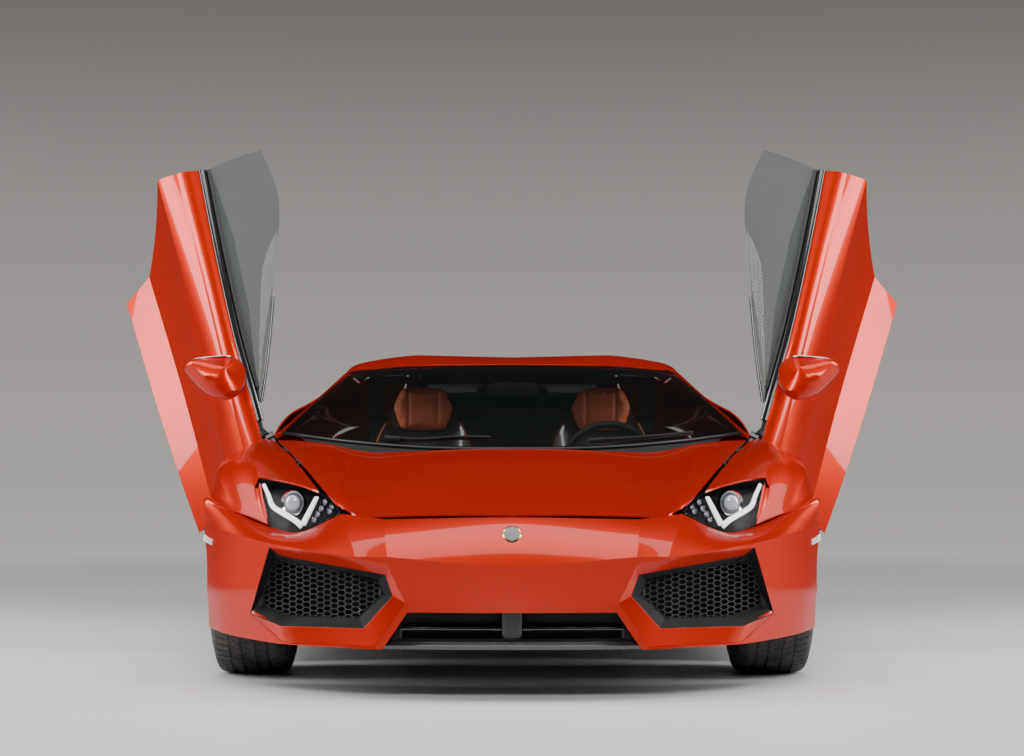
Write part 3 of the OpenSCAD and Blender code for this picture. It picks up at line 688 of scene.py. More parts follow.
ALLOY = Finish("cast_alloy", Slot.FRAME_METAL, (.22, .22, .225), (.32, .32, .325), (.4, .55), .9, 0.0,
    Pattern.GRAIN, 500.0, .3, .25)
STEEL = Finish("machined_steel", Slot.STEEL, (.36, .355, .35), (.5, .495, .49), (.25, .4), 1.0, 0.0,
    Pattern.BRUSHED, 900.0, .2, .1)
CALIPER = Finish("caliper_lacquer", Slot.PAINT, (.75, .1, .01), (.85, .14, .02), (.25, .35), 0.0, .8,
    Pattern.CLOUD, 500.0, .08, .15)
RIM_BLACK = Finish("black_rim_paint", Slot.RIM_PAINT, (.014, .014, .015), (.026, .026, .028), (.2, .32), .35,
    .9, Pattern.LACQUER, 2400.0, .02, .12)
RUBBER = Finish("tyre_rubber", Slot.TYRE, (.013, .013, .013), (.024, .0235, .023), (.62, .8), 0.0, 0.0,
    Pattern.GRAIN, 420.0, .35, .35)
SEAL = Finish("rubber_seal", Slot.BLACK_SATIN, (.012, .012, .012), (.02, .02, .021), (.45, .6), 0.0, 0.0,
    Pattern.CLOUD, 800.0, .1)
PIPE = Finish("burnt_steel", Slot.EXHAUST_METAL, (.16, .15, .145), (.28, .25, .22), (.22, .4), 1.0, 0.0,
    Pattern.BRUSHED, 500.0, .2, .1)
MARKER = Finish("side_marker_white", Slot.LAMP, (.65, .64, .61), (.75, .74, .71), (.15, .25), 0.0, .8,
    Pattern.GRAIN, 900.0, .15)
BADGE = Finish("plain_badge_metal", Slot.STEEL, (.45, .33, .1), (.6, .45, .16), (.2, .35), 1.0, .4,
    Pattern.CLOUD, 700.0, .1)


# --- placing ---


def clean_normals(mesh: bpy.types.Mesh) -> None:
    """Merges doubled points and turns every face of a closed mesh outwards."""
    work = bmesh.new()
    work.from_mesh(mesh)
    bmesh.ops.remove_doubles(work, verts=work.verts, dist=1e-5)
    loose = [edge for edge in work.edges if not edge.link_faces]
    bmesh.ops.delete(work, geom=loose, context="EDGES")
    bmesh.ops.recalc_face_normals(work, faces=work.faces)
    work.to_mesh(mesh)
    work.free()


def as_object(name: str, form: Form) -> bpy.types.Object:
    """A new object for a form, at the origin, with its faces turned outwards."""
    mesh = bpy.data.meshes.new(name)
    mesh.from_pydata(form.points.tolist(), [], form.faces)
    clean_normals(mesh)
    piece = bpy.data.objects.new(name, mesh)
    bpy.context.scene.collection.objects.link(piece)
    return piece


def baked(piece: bpy.types.Object) -> None:
    """Puts a piece's modifiers into its mesh."""
    ready = piece.evaluated_get(bpy.context.evaluated_depsgraph_get())
    mesh = bpy.data.meshes.new_from_object(ready)
    piece.modifiers.clear()
    piece.data = mesh


def carved(name: str, form: Form, cutters: Sequence[Form]) -> bpy.types.Object:
    """An object for a closed form with other closed forms cut out of it."""
    piece = as_object(name, form)
    for number, cutter in enumerate(cutters):
        tool = as_object(f"{name}_cutter_{number}", cutter)
        cut = piece.modifiers.new("cut", "BOOLEAN")
        cut.object, cut.operation, cut.solver = tool, "DIFFERENCE", "EXACT"
        baked(piece)
        bpy.data.objects.remove(tool)
    return piece


def dress(piece: bpy.types.Object, finish: Finish, body: str, replaces: Sequence[str] = (), bevel: float = 0.0,
        sharp: float = 32.0, subdivide: int = 0) -> bpy.types.Object:
    """Gives a piece its finish, its edges and the body that it rides on.

    Args:
        piece: the object, already in place.
        finish: what it is made of.
        body: the moving body that carries it.
        replaces: the frame's nodes that it stands for.
        bevel: radius that its sharp edges are rounded to.
        sharp: the angle in degrees from which an edge stays sharp.
        subdivide: levels of subdivision.

    Returns:
        The same object.
    """
    piece.data.materials.clear()
    piece.data.materials.append(finish.material())
    piece.data.polygons.foreach_set("use_smooth", [True] * len(piece.data.polygons))
    piece.data.set_sharp_from_angle(angle=math.radians(sharp))
    if bevel:
        edge = piece.modifiers.new("edges", "BEVEL")
        edge.width, edge.segments, edge.limit_method = bevel, 2, "ANGLE"
        edge.angle_limit, edge.harden_normals = math.radians(sharp), True
    if subdivide:
        smooth = piece.modifiers.new("smooth", "SUBSURF")
        smooth.levels = smooth.render_levels = subdivide
    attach(piece, body)
    if replaces:
        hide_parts(*replaces)
    LOG.info("%s: %d points, %s on %s", piece.name, len(piece.data.vertices), finish.name, body)
    return piece


def piece(name: str, form: Form, finish: Finish, body: str = "chassis", **rest: object) -> bpy.types.Object:
    """Makes an object for a form and dresses it; the other arguments are dress()'s own."""
    return dress(as_object(name, form), finish, body, **rest)


def pair(name: str, form: Form, finish: Finish, bodies: tuple[str, str], replaces: str = "",
        **rest: object) -> None:
    """Makes a left piece and its mirrored twin on the right, each on its own body.

    Args:
        name: the pieces' common name.
        form: the left piece.
        finish: what both are made of.
        bodies: the left and the right body.
        replaces: the common name of the nodes that they stand for.
        rest: dress()'s own arguments.
    """
    for side, shape, body in zip(("left", "right"), (form, form.mirrored()), bodies):
        nodes = (f"{replaces}_{side}",) if replaces else ()
        piece(f"{name}_{side}", shape, finish, body, replaces=nodes, **rest)


def arched_pair(name: str, form: Form, axle: Point, radius: float) -> None:
    """Makes a painted left fender and its twin, each with a round wheel arch cut out.

    Args:
        name: the nodes' common name.
        form: the left fender.
        axle: the arch's middle, in y and z.
        radius: the arch's radius.
    """
    cut = prism(disc(120, radius) + axle, 0, .3, 1.3)
    for side, shape, tool in (("left", form, cut), ("right", form.mirrored(), cut.mirrored())):
        fender = carved(f"{name}_skin_{side}", shape, (tool,))
        dress(fender, PAINT, "chassis", (f"{name}_{side}",), sharp=10)


# --- the body ---


@dataclass
class FrontLid:
    """The lid over the nose: a raised middle between two valleys, with hinge arms below it."""

    side: Rail = ((.523, -2.058, .562), (.585, -1.929, .614), (.729, -1.3, .717), (.861, -.64, .787))
    outer: Rail = ((.48, -2.105, .546), (.545, -1.79, .64), (.61, -1.3, .712), (.64, -.85, .768))
    valley: Rail = ((.44, -2.14, .537), (.45, -1.75, .622), (.465, -1.33, .69), (.48, -.95, .74))
    ridge: Rail = ((.38, -2.175, .545), (.365, -1.79, .633), (.345, -1.38, .698), (.325, -1.0, .745))
    middle: Rail = ((0.0, -2.222, .547), (0.0, -1.83, .632), (0.0, -1.42, .702), (0.0, -1.03, .752))
    columns: int = 90

    def build(self) -> None:
        """Makes the lid's skin, its lining and its hinge lugs."""
        rails = [catmull(r, self.columns) for r in (self.side, self.outer, self.valley, self.ridge,
            self.middle)]
        half = loft(rails, (16, 10, 5, 14), ((0, 0, .004), (0, 0, -.004), (0, 0, 0), (0, 0, .003)))
        top = both_halves(half)
        centre = (0, -1.6, 0)
        piece("front_lid", skin(top, centre), PAINT, "hood", replaces=("hood",), bevel=.0015, sharp=7)
        inner = top[8:-8, 5:-5] - normals(top, centre)[8:-8, 5:-5] * (SKIN + .001)
        piece("front_lid_lining", skin(inner, centre, .004), BLACK_SATIN, "hood")
        low, high = (.834, -.667, .742), (.848, -.643, .772)
        piece("front_lid_hinges", brick(low, high).both(), ALLOY, "hood", bevel=.002)


@dataclass
class Nose:
    """The front bumper's skin with its intakes, blades, splitter, grilles and blank badge."""

    top: Rail = ((0, -2.24, .541), (.39, -2.193, .534), (.524, -2.088, .548), (.656, -2.008, .492),
        (.762, -1.904, .502), (.882, -1.83, .545), (.986, -1.729, .587))
    crease: Rail = ((0, -2.39, .402), (.37, -2.355, .427), (.47, -2.315, .426), (.64, -2.2, .445),
        (.79, -2.04, .466), (.91, -1.88, .492), (.99, -1.729, .52))
    middle: Rail = ((0, -2.376, .3), (.37, -2.342, .3), (.47, -2.3, .3), (.64, -2.19, .3), (.8, -2.03, .3),
        (.925, -1.87, .3), (.99, -1.729, .3))
    bottom: Rail = ((0, -2.35, .15), (.406, -2.338, .152), (.52, -2.27, .152), (.69, -2.15, .153),
        (.81, -2.01, .158), (.915, -1.86, .166), (.975, -1.729, .176))
    lip: Rail = ((.745, 0, .446), (.556, 0, .432), (.372, 0, .405), (.314, 0, .289), (.406, 0, .16),
        (.697, 0, .156), (.812, 0, .238))
    mouth: Rail = ((.712, -2.09, .42), (.556, -2.215, .398), (.378, -2.318, .372), (.355, -2.325, .31),
        (.443, -2.296, .212), (.706, -2.138, .208), (.806, -2.04, .241))
    grille: Rail = ((.695, .398), (.556, .378), (.405, .352), (.388, .31), (.462, .24), (.685, .236),
        (.77, .262))
    columns: int = 241

    def _surface(self) -> Array:
        """The bumper's outer surface, from its bottom edge to its top edge."""
        rails = [creased(across(r), self.columns, (4, 5, 7, 8)) for r in (self.bottom, self.middle, self.crease,
            self.top)]
        return loft(rails, (12, 10, 18), ((0, 0, 0), (0, 0, 0), (0, -.01, .008)))

    @staticmethod
    def _on(surface: Array, flat: Rail) -> Array:
        """Points moved in y onto a surface: the mean of its four nearest points in x and z, by distance."""
        points = np.asarray(flat, float)
        cloud = surface.reshape(-1, 3)
        reach = np.linalg.norm(cloud[None, :, [0, 2]] - points[:, None, [0, 2]], axis=2)
        near = np.argsort(reach, axis=1)[:, :4]
        weight = 1 / (np.take_along_axis(reach, near, 1) + 1e-5)
        y = np.sum(cloud[near, 1] * weight, 1) / weight.sum(1)
        return np.stack([points[:, 0], y, points[:, 2]], 1)

    def _intake(self, surface: Array) -> None:
        """Makes one side's intake and its twin: painted blade, dark frame, mesh and backing."""
        lip = self._on(surface, self.lip)
        mouth = np.asarray(self.mouth)
        blade = loft([straight(lip, 6 * 8 + 1), straight(mouth, 6 * 8 + 1)], (6,))
        centre = (.58, -1.9, .32)
        piece("intake_blades", skin(blade, centre, .01).both(), PAINT, bevel=.0018, sharp=18)
        edge = np.vstack([mouth, lip[-1:] * (.998, 1, 1), lip[:1] * (.998, 1, 1)])
        loop = np.vstack([edge, edge[:1]])
        back = np.array([(x, np.interp(x, (.352, .47, .64, .8), (-2.262, -2.222, -2.104, -1.985)), z) for x,
            z in list(self.grille) + [(.772, .3), (.735, .405)]])
        loop_back = np.vstack([back, back[:1]])
        frame_ring = loft([straight(loop, 9 * 8 + 1), straight(loop_back, 9 * 8 + 1)], (5,))
        piece("intake_frames", skin(frame_ring, centre, .004).both(), BLACK_SATIN, bevel=.001, sharp=18)
        outline = inset(back[:, [0, 2]], -.006)
        comb = honeycomb(outline, .03, .0165, .0016, .008)
        comb.points[:, 1] += np.interp(comb.points[:, 0], (.352, .47, .64, .8), (-2.268, -2.228, -2.11, -1.991))
        piece("intake_mesh", comb.both(), MESH_BLACK)
        duct = [np.array([(x, y + .03, z) for x, y, z in loop_back]),
            np.array([(x * .98, y + .1, .32 + (z - .32) * .8) for x, y, z in loop_back])]
        walls = loft([straight(d, 73) for d in (loop_back, *duct)], (2, 4))
        cap = Form(duct[1][:-1], [list(range(len(duct[1]) - 1))])
        piece("intake_ducts", (skin(walls, (.58, -2.0, .32), .003) + cap).both(), BLACK_SATIN,
            replaces=("front_intakes",))

    def build(self) -> None:
        """Makes the whole nose."""
        surface = self._surface()
        turn = np.linspace(0, math.pi, self.columns)
        inward = np.stack([np.cos(turn), np.sin(turn), np.zeros_like(turn)], 1) * .008
        side_hole = np.asarray(self.lip)[:, [0, 2]]
        hole = prism(side_hole, 1, -2.7, -1.75)
        belly = prism([(-.31, .262), (.31, .262), (.4, .128), (-.4, .128)], 1, -2.7, -1.9)
        round_arch = prism(disc(120, FRONT_ARCH) + FRONT_AXLE, 0, -1.2, 1.2)
        skin_piece = carved("front_bumper_skin", shell(surface, surface + inward),
            (hole, hole.mirrored(), belly, round_arch))
        dress(skin_piece, PAINT, "chassis", ("front_bumper",), sharp=9)
        self._intake(surface)
        self._splitter()
        self._badge(surface)
        marker = self._on(surface, ((.955, 0, .452), (.975, 0, .458), (.988, 0, .466)))
        marker += (.003, -.003, 0)
        bar = carry(oblong(.004, .02, .0019), catmull(marker, 12))
        piece("side_markers", bar.both(), MARKER, bevel=.0005)

    @staticmethod
    def _splitter() -> None:
        """Makes the gloss black lower lip, the bar over it, the post and the tray behind them."""
        profile = [(-.05, -.004), (-.046, -.016), (.04, -.016), (.045, .012), (-.03, .016), (-.044, .008)]
        low = [(x, -2.3 + .03 * abs(x / .38) ** 3, .167) for x in np.linspace(-.372, .372, 41)]
        bar = [(x, -2.272 + .01 * abs(x / .33) ** 2, .209) for x in np.linspace(-.338, .338, 31)]
        lip, blade = carry(profile, low), carry(oblong(.034, .013, .005), bar)
        post = prism([(-.03, -2.3), (-.022, -2.306), (.022, -2.306), (.03, -2.3), (.044, -2.245),
            (-.044, -2.245)], 2, .176, .262)
        piece("splitter_lip", lip + blade + post, BLACK_GLOSS, replaces=("front_splitter",), bevel=.002,
            sharp=25)
        cheeks = prism([(-2.312, .176), (-2.245, .168), (-2.24, .262), (-2.29, .262)], 0, .338, .372)
        piece("splitter_cheeks", cheeks.both(), BLACK_SATIN, bevel=.003)
        backing = brick((-.33, -2.2445, .14), (.33, -2.2405, .305))
        piece("centre_duct_backing", backing, BLACK_SATIN, bevel=.001)

    def _badge(self, surface: Array) -> None:
        """Makes the plain, blank badge: a dark field in a thin metal rim, crowned over its middle."""
        a = round_steps(48)
        width = .029 * np.cos(a) * (1 - .22 * np.maximum(-np.sin(a), 0) ** 1.5)
        outline = np.stack([width, .034 * np.sin(a)], 1)
        reach = np.array([1.0, .9, .86, .5, .001])
        rise = np.array([0.0, .003, .0015, .003, .0035])
        middle = self._on(surface, ((0, 0, .492),))[0]
        for name, first, last, finish in (("badge_rim", 0, 3, BADGE), ("badge_field", 2, 5, BLACK_GLOSS)):
            rings = [np.stack([outline[:, 0] * r, np.full(48, -.002 - h), outline[:, 1] * r], 1) for r,
                h in zip(reach[first:last], rise[first:last])]
            plate = grid(np.array(rings), close_columns=True)
            turned = plate.turned((1, 0, 0), -46).moved(middle)
            piece(name, turned, finish, sharp=60)


@dataclass
class FrontFenders:
    """The front fenders: seven rails from the sill to the lid, with the wheel's arch cut out."""

    rear: float = -.757
    columns: int = 73

    def _surface(self) -> Array:
        """The left fender's outer surface, from its foot to the lid."""
        r = self.rear
        rails = (((.96, -1.728, .2003), (.985, -1.38, .2003), (.99, -1.1, .2003), (.982, -.808, .2003)),
            ((.99, -1.728, .4), (1.004, -1.38, .4), (.985, -1.1, .4), (.952, -.797, .4)),
            ((.99, -1.728, .591), (1.002, -1.38, .596), (.992, -1.1, .594), (.977, r, .598)),
            ((.886, -1.824, .55), (.958, -1.63, .664), (.975, -1.38, .7), (.968, -1.1, .694), (.955, r, .7)),
            ((.77, -1.895, .512), (.88, -1.64, .694), (.912, -1.38, .744), (.928, -1.1, .75), (.938, r, .752)),
            ((.816, -1.745, .658), (.846, -1.56, .72), (.866, -1.38, .762), (.88, -1.1, .78), (.915, r, .788)),
            ((.606, -1.924, .616), (.742, -1.3, .718), (.82, -.92, .756), (.852, r, .775)))
        lines = [catmull(x, self.columns) for x in rails]
        swell = ((0, 0, 0), (0, 0, 0), (.008, 0, 0), (.006, 0, .006), (.004, 0, .004), (0, 0, .008))
        return loft(lines, (6, 8, 8, 8, 8, 14), swell)

    def build(self) -> None:
        """Makes both fenders."""
        arched_pair("front_fender", skin(self._surface(), (.3, -1.3, .3)), FRONT_AXLE, FRONT_ARCH)


@dataclass
class Headlamps:
    """The headlamps: a dark bowl with a projector, a Y of light guides and six small lamps, under a clear lens."""

    top: Rail = ((.527, -2.066, .556), (.598, -1.934, .608), (.7, -1.842, .632), (.812, -1.756, .653))
    bottom: Rail = ((.531, -2.078, .549), (.657, -2.004, .496), (.76, -1.904, .506), (.813, -1.76, .647))
    inner_arm: Rail = ((.613, -1.924, .597), (.6286, -1.9555, .561), (.651, -1.99, .512))
    outer_arm: Rail = ((.655, -1.99, .508), (.676, -1.954, .523), (.709, -1.909, .54), (.757, -1.851, .566),
        (.775, -1.812, .6), (.796, -1.768, .636))
    projector: Point = (.692, -1.892, .5785)
    small: Rail = ((.559, -2.01, .5665), (.5827, -1.97, .5828), (.5634, -2.028, .5551), (.5924, -1.99, .563),
        (.6025, -2.002, .5464), (.6127, -2.012, .5286))
    facing: Point = (.42, -.8, .43)
    yaw: float = -68.0
    inside: Point = (.3, -1.4, .2)

    def _cup(self, centre: Point, radius: float, depth: float, sides: int) -> Form:
        """A reflector bowl: a parabola, depth * (r / radius)^2, turned round the lamp's axis."""
        r = np.linspace(.02, 1, 7)
        bowl = np.concatenate([np.stack([-depth * (1 - r**2), radius * r], 1),
            [(.0015, radius * 1.08), (-depth, radius * 1.1), (-depth * 1.15, radius * .02)]])
        return turned_x(bowl, sides=sides).turned((0, 0, 1), self.yaw).moved(centre)

    def build(self) -> None:
        """Makes both headlamps."""
        lens = loft([catmull(self.bottom, 41), catmull(self.top, 41)], (14,), ((0, -.004, .003),))
        out = normals(lens, self.inside)
        base = lens - out * .03
        piece("lamp_bowls", skin(base, self.inside, .003).both(), LAMP_BLACK, replaces=("headlights",))
        rim = np.vstack([lens[0], lens[:, -1], lens[-1, ::-1], lens[::-1, 0]])
        rim_in = np.vstack([base[0], base[:, -1], base[-1, ::-1], base[::-1, 0]])
        wall = loft([rim, rim_in], (2,))
        piece("lamp_walls", skin(wall, self.inside, .0015).both(), LAMP_BLACK, sharp=60)
        bars = joined([carry(oblong(.019, .009, .003), catmull(self.inner_arm, 14), self.facing,
            np.linspace(.75, 1.05, 14)), carry(oblong(.02, .009, .003), catmull(self.outer_arm, 28),
            self.facing, np.interp(np.linspace(0, 1, 28), (0, .5, 1), (.9, .85, .55)))])
        piece("light_guides", bars.both(), LIGHT_BAR, bevel=.0012, sharp=28)
        ring = self._cup(self.projector, .037, .02, 48)
        cups = joined([self._cup(p, .0088, .008, 20) for p in self.small])
        piece("lamp_reflectors", (ring + cups).both(), REFLECTOR)
        eye = pod((0, 0, 0), (.014, .025, .025), 2.0, 16, 28).turned((0, 0, 1), self.yaw).moved(self.projector)
        dots = joined([pod((0, 0, 0), (.003, .0045, .0045), 2.0, 8, 12).turned((0, 0, 1),
            self.yaw).moved(np.asarray(p) + (-.001, .004, 0)) for p in self.small])
        piece("lamp_bulbs", (eye + dots).both(), BULB)
        piece("lamp_lenses", skin(lens - out * .002, self.inside, .002).both(), LENS)


@dataclass
class Greenhouse:
    """The windscreen, the pillars, the double-bubble roof, the cowl, the wipers and the rear window."""

    foot: Rail = ((0, -1.01, .756), (.3, -.965, .76), (.6, -.82, .784), (.846, -.606, .817))
    head: Rail = ((0, -.062, 1.087), (.3, -.04, 1.084), (.54, .026, 1.074), (.637, .086, 1.064))
    columns: int = 121

    def build(self) -> None:
        """Makes every piece of the greenhouse."""
        foot, head = catmull(across(self.foot), self.columns), catmull(across(self.head), self.columns)
        glass = loft([foot, head], (30,), ((0, -.006, .01),))
        centre = (0, 0, .6)
        piece("windscreen", skin(glass, centre, .005), SCREEN_GLASS, replaces=("windshield",))
        out = normals(glass, centre)
        under = glass - out * .0065
        band = [under[:, :4], under[:, -4:], under[:2], under[-4:]]
        piece("windscreen_band", joined([skin(b, centre, .002) for b in band]), BLACK_GLOSS)
        self._pillars()
        self._roof()
        self._cowl(foot)
        self._wipers(glass, out)
        rear = brick((-.395, .6405, .885), (.395, .646, 1.075))
        piece("rear_window_glass", rear, SCREEN_GLASS, replaces=("rear_window",), bevel=.001)

    @staticmethod
    def _pillars() -> None:
        """Makes the painted pillars beside the windscreen, with a rubber line along each."""
        inner = catmull(((.85, -.612, .814), (.79, -.39, .891), (.718, -.15, .977), (.651, .097, 1.064)), 40)
        outer = catmull(((.88, -.612, .8), (.818, -.39, .872), (.748, -.15, .956), (.675, .124, 1.05)), 40)
        bar = loft([outer, inner], (8,), ((.003, 0, .004),))
        piece("windscreen_pillars", skin(bar, (0, 0, .6), .016).both(), PAINT, replaces=("pillars",),
            bevel=.002)
        piece("pillar_seals", tube(outer + (-.007, 0, -.01), .003, 8).both(), SEAL)

    @staticmethod
    def _roof() -> None:
        """Makes the roof's skin with its two bubbles and the dark headlining under it."""
        rails = (((.65, .104, 1.064), (.668, .2, 1.066), (.664, .4, 1.062), (.64, .645, 1.04)),
            ((.575, .055, 1.074), (.6, .16, 1.103), (.595, .4, 1.108), (.57, .645, 1.09)),
            ((.34, -.02, 1.088), (.38, .15, 1.133), (.385, .4, 1.134), (.37, .645, 1.11)),
            ((0, -.042, 1.091), (0, .13, 1.124), (0, .4, 1.126), (0, .645, 1.106)))
        half = loft([catmull(r, 61) for r in rails], (10, 14, 20), ((.006, 0, .006), (0, 0, .004), (0, 0, 0)))
        top = both_halves(half)
        piece("roof_skin", skin(top, (0, .3, .6)), PAINT, replaces=("roof",), bevel=.002, sharp=40)
        lining = top[3:-3, 3:-3] - normals(top, (0, .3, .6))[3:-3, 3:-3] * .009
        piece("headlining", skin(lining, (0, .3, .6), .004), TRIM)

    def _cowl(self, foot: Array) -> None:
        """Makes the black scuttle below the windscreen: a ribbed panel from the lid's edge to the glass."""
        fore = catmull(across(((0, -1.018, .738), (.325, -.987, .733), (.48, -.937, .731), (.62, -.856, .747),
            (.715, -.776, .759))), self.columns)
        aft = catmull(across(catmull(self.foot, 25)[:22:3]), self.columns) + (0, .002, -.007)
        panel = loft([fore, aft], (10,))
        ribs = np.sin(np.linspace(0, 8 * math.pi, 11))[:, None, None] * (0, 0, .0012)
        piece("scuttle_panel", skin(panel + ribs, (0, -.5, .5), .004), BLACK_SATIN, replaces=("cowl",))
        piece("windscreen_foot_seal", tube(foot + (0, -.003, -.002), .005, 8), SEAL)

    @staticmethod
    def _wipers(glass: Array, out: Array) -> None:
        """Makes two wipers that lie along the windscreen's foot, each an arm, a blade and a rubber."""
        arms, rubbers = [], []
        for start, end, row_a, row_b in ((30, 62, 1, 3), (78, 112, 1, 2)):
            columns = np.linspace(start, end, 24).astype(int)
            rows = np.linspace(row_a, row_b, 24).astype(int)
            base = glass[rows, columns] + out[rows, columns] * .012
            smooth = catmull(base[::6], 24)
            arms.append(carry(oblong(.012, .006, .002), smooth + (0, -.002, .004), (0, -.3, 1)))
            arms.append(carry(oblong(.02, .014, .004), smooth[:5] + (0, -.006, .002), (0, -.3, 1)))
            rubbers.append(carry(oblong(.005, .012, .001), smooth + (0, .004, -.002), (0, -.3, 1)))
        piece("wiper_arms", joined(arms), BLACK_SATIN, bevel=.001)
        piece("wiper_rubbers", joined(rubbers), SEAL)


@dataclass
class RearBody:
    """The rear fenders, the louvred engine lid, the tail panel, the lamps, the exhaust and the diffuser."""

    columns: int = 97
    tail_step: float = .013
    low: Rail = ((0, 2.377, .52), (.5, 2.357, .51), (.8, 2.277, .5), (.934, 2.159, .48))
    edge: Rail = ((0, 2.327, .8), (.5, 2.312, .79), (.76, 2.273, .78), (.922, 2.197, .706))
    top: Rail = ((0, 2.2, .921), (.5, 2.2, .905), (.7, 2.2, .89), (.862, 2.205, .83))
    bottom: Rail = ((0, 2.357, .33), (.5, 2.337, .32), (.8, 2.257, .31), (.933, 2.129, .3))

    def build(self) -> None:
        """Makes everything behind the doors."""
        self._fenders()
        self._lid()
        self._tail()
        self._lamps()
        self._below()

    def _fenders(self) -> None:
        """Makes both rear fenders with their arches, haunches and shoulder lines."""
        rails = (((.985, .56, .3), (1.005, .8, .3), (1.015, 1.32, .3), (.99, 1.8, .3), (.93, 2.12, .3)),
            ((.985, .52, .56), (1.008, .8, .56), (1.015, 1.32, .58), (1.0, 1.8, .57), (.93, 2.15, .56)),
            ((1.0, .44, .77), (1.005, .8, .79), (1.012, 1.32, .805), (.985, 1.8, .8), (.905, 2.19, .79)),
            ((.9, .39, .915), (.9, .8, .922), (.905, 1.32, .925), (.87, 1.8, .905), (.79, 2.2, .88)),
            ((.672, .404, 1.063), (.672, .8, 1.03), (.69, 1.32, .985), (.69, 1.8, .945), (.66, 2.2, .915)),
            ((.649, .647, 1.041), (.655, .9, 1.016), (.676, 1.32, .984), (.678, 1.8, .946), (.648, 2.2, .916)),
            ((.44, .647, 1.102), (.462, .96, 1.064), (.49, 1.32, 1.02), (.505, 1.7, .97), (.515, 2.2, .918)))
        swell = ((0, 0, 0), (0, 0, 0), (.012, 0, .012), (0, 0, -.01), (0, 0, 0), (0, 0, .008))
        surface = loft([catmull(r, self.columns) for r in rails], (8, 10, 14, 14, 3, 14), swell)
        arched_pair("rear_fender", skin(surface, (.2, 1.3, .4)), REAR_AXLE, REAR_ARCH)

    def _lid(self) -> None:
        """Makes the engine lid: a painted frame, a spine, and black louvres over the opening."""
        side = catmull(((.432, .692, 1.094), (.454, .96, 1.062), (.482, 1.32, 1.014), (.497, 1.7, .964),
            (.507, 2.193, .912)), 91)
        middle = catmull(((0, .692, 1.101), (0, .96, 1.075), (0, 1.32, 1.03), (0, 1.7, .98), (0, 2.193, .925)),
            91)
        top = both_halves(loft([side, middle], (26,), ((0, 0, .004),)))
        half_hole = np.array([(.06, .76), (.33, .76), (.385, 1.24), (.33, 1.7), (.06, 1.7)])
        holes = [prism(half_hole * (s, 1), 2, .7, 1.3) for s in (1, -1)]
        lid = carved("engine_lid", skin(top, (0, 1.4, .4)), holes)
        dress(lid, PAINT, "engine_cover", ("engine_cover",), sharp=26)
        y = np.linspace(.8, 1.68, 8)
        slats = []
        for level in y:
            reach = np.interp(level, (.76, 1.24, 1.7), (.335, .392, .335))
            x = np.linspace(-reach, reach, 33)
            z = np.interp(level, (.692, .96, 1.32, 1.7, 2.193), (1.101, 1.075, 1.03, .98, .925)) - .016
            path = np.stack([x, np.full(33, level), z - .01 * (x / .4) ** 2], 1)
            slats.append(carry([(-.048, .012), (-.046, .016), (.05, -.01), (.048, -.014)], path))
        piece("engine_louvres", joined(slats), BLACK_GLOSS, "engine_cover", bevel=.0015, sharp=25)
        lugs = brick((.384, .69, 1.05), (.398, .716, 1.08)).both()
        piece("engine_lid_hinges", lugs, ALLOY, "engine_cover", bevel=.002)

    def _line(self, rail: Rail) -> Array:
        """A line of the tail panel, just behind the fenders' ends."""
        return catmull(across(rail), 161) + (0, self.tail_step, 0)

    def _tail(self) -> None:
        """Makes the tail panel's skin with its openings, and the mesh and backing inside them."""
        surface = loft([self._line(r) for r in (self.bottom, self.low, self.edge, self.top)], (10, 14, 8))
        form = shell(surface, surface - (0, .008, 0))
        wide = prism([(-.76, .64), (.76, .64), (.8, .74), (-.8, .74)], 1, 1.9, 2.6)
        vent = prism([(.3, .37), (.72, .39), (.8, .56), (.3, .56)], 1, 1.9, 2.6)
        pipe = prism([(-.17, .345), (.17, .345), (.19, .5), (-.19, .5)], 1, 1.9, 2.6)
        skin_piece = carved("tail_skin", form, (wide, vent, vent.mirrored(), pipe))
        dress(skin_piece, PAINT, "chassis", ("rear_bumper",), sharp=24)
        combs = []
        for outline in (((-.77, .635), (.77, .635), (.81, .745), (-.81, .745)), ((.292, .362), (.726, .382),
                (.808, .568), (.292, .568)), ((-.292, .362), (-.292, .568), (-.808, .568), (-.726, .382))):
            comb = honeycomb(outline, .032, .018, .0018, .008)
            x, z = comb.points[:, 0], comb.points[:, 2]
            rows = np.clip((z - .3) / .63 * (surface.shape[0] - 1), 0, surface.shape[0] - 1).astype(int)
            cols = np.clip((x + .934) / 1.868 * (surface.shape[1] - 1), 0, surface.shape[1] - 1).astype(int)
            comb.points[:, 1] += surface[rows, cols, 1] - .03
            combs.append(comb)
        piece("tail_mesh", joined(combs), MESH_BLACK)
        back = surface[2:-6, 8:-8] - (0, .05, 0)
        piece("tail_backing", shell(back, back - (0, .003, 0)), BLACK_SATIN)

    def _lamps(self) -> None:
        """Makes the tail lamps: three red arrows on each side."""
        arrows = []
        for x in (.47, .58, .69):
            y = np.interp(x, (0, .5, .76), (2.345, 2.33, 2.29))
            path = ((x + .045, y - .012, .726), (x, y, .692), (x + .045, y - .012, .656))
            arrows.append(carry(oblong(.018, .014, .003), straight(path, 15), (0, 1, 0)))
            stem = ((x, y, .692), (x - .045, y + .006, .692))
            arrows.append(carry(oblong(.016, .014, .003), straight(stem, 6), (0, 1, 0)))
        piece("tail_light_arrows", joined(arrows).both(), TAIL_RED, replaces=("taillights",), bevel=.0012)

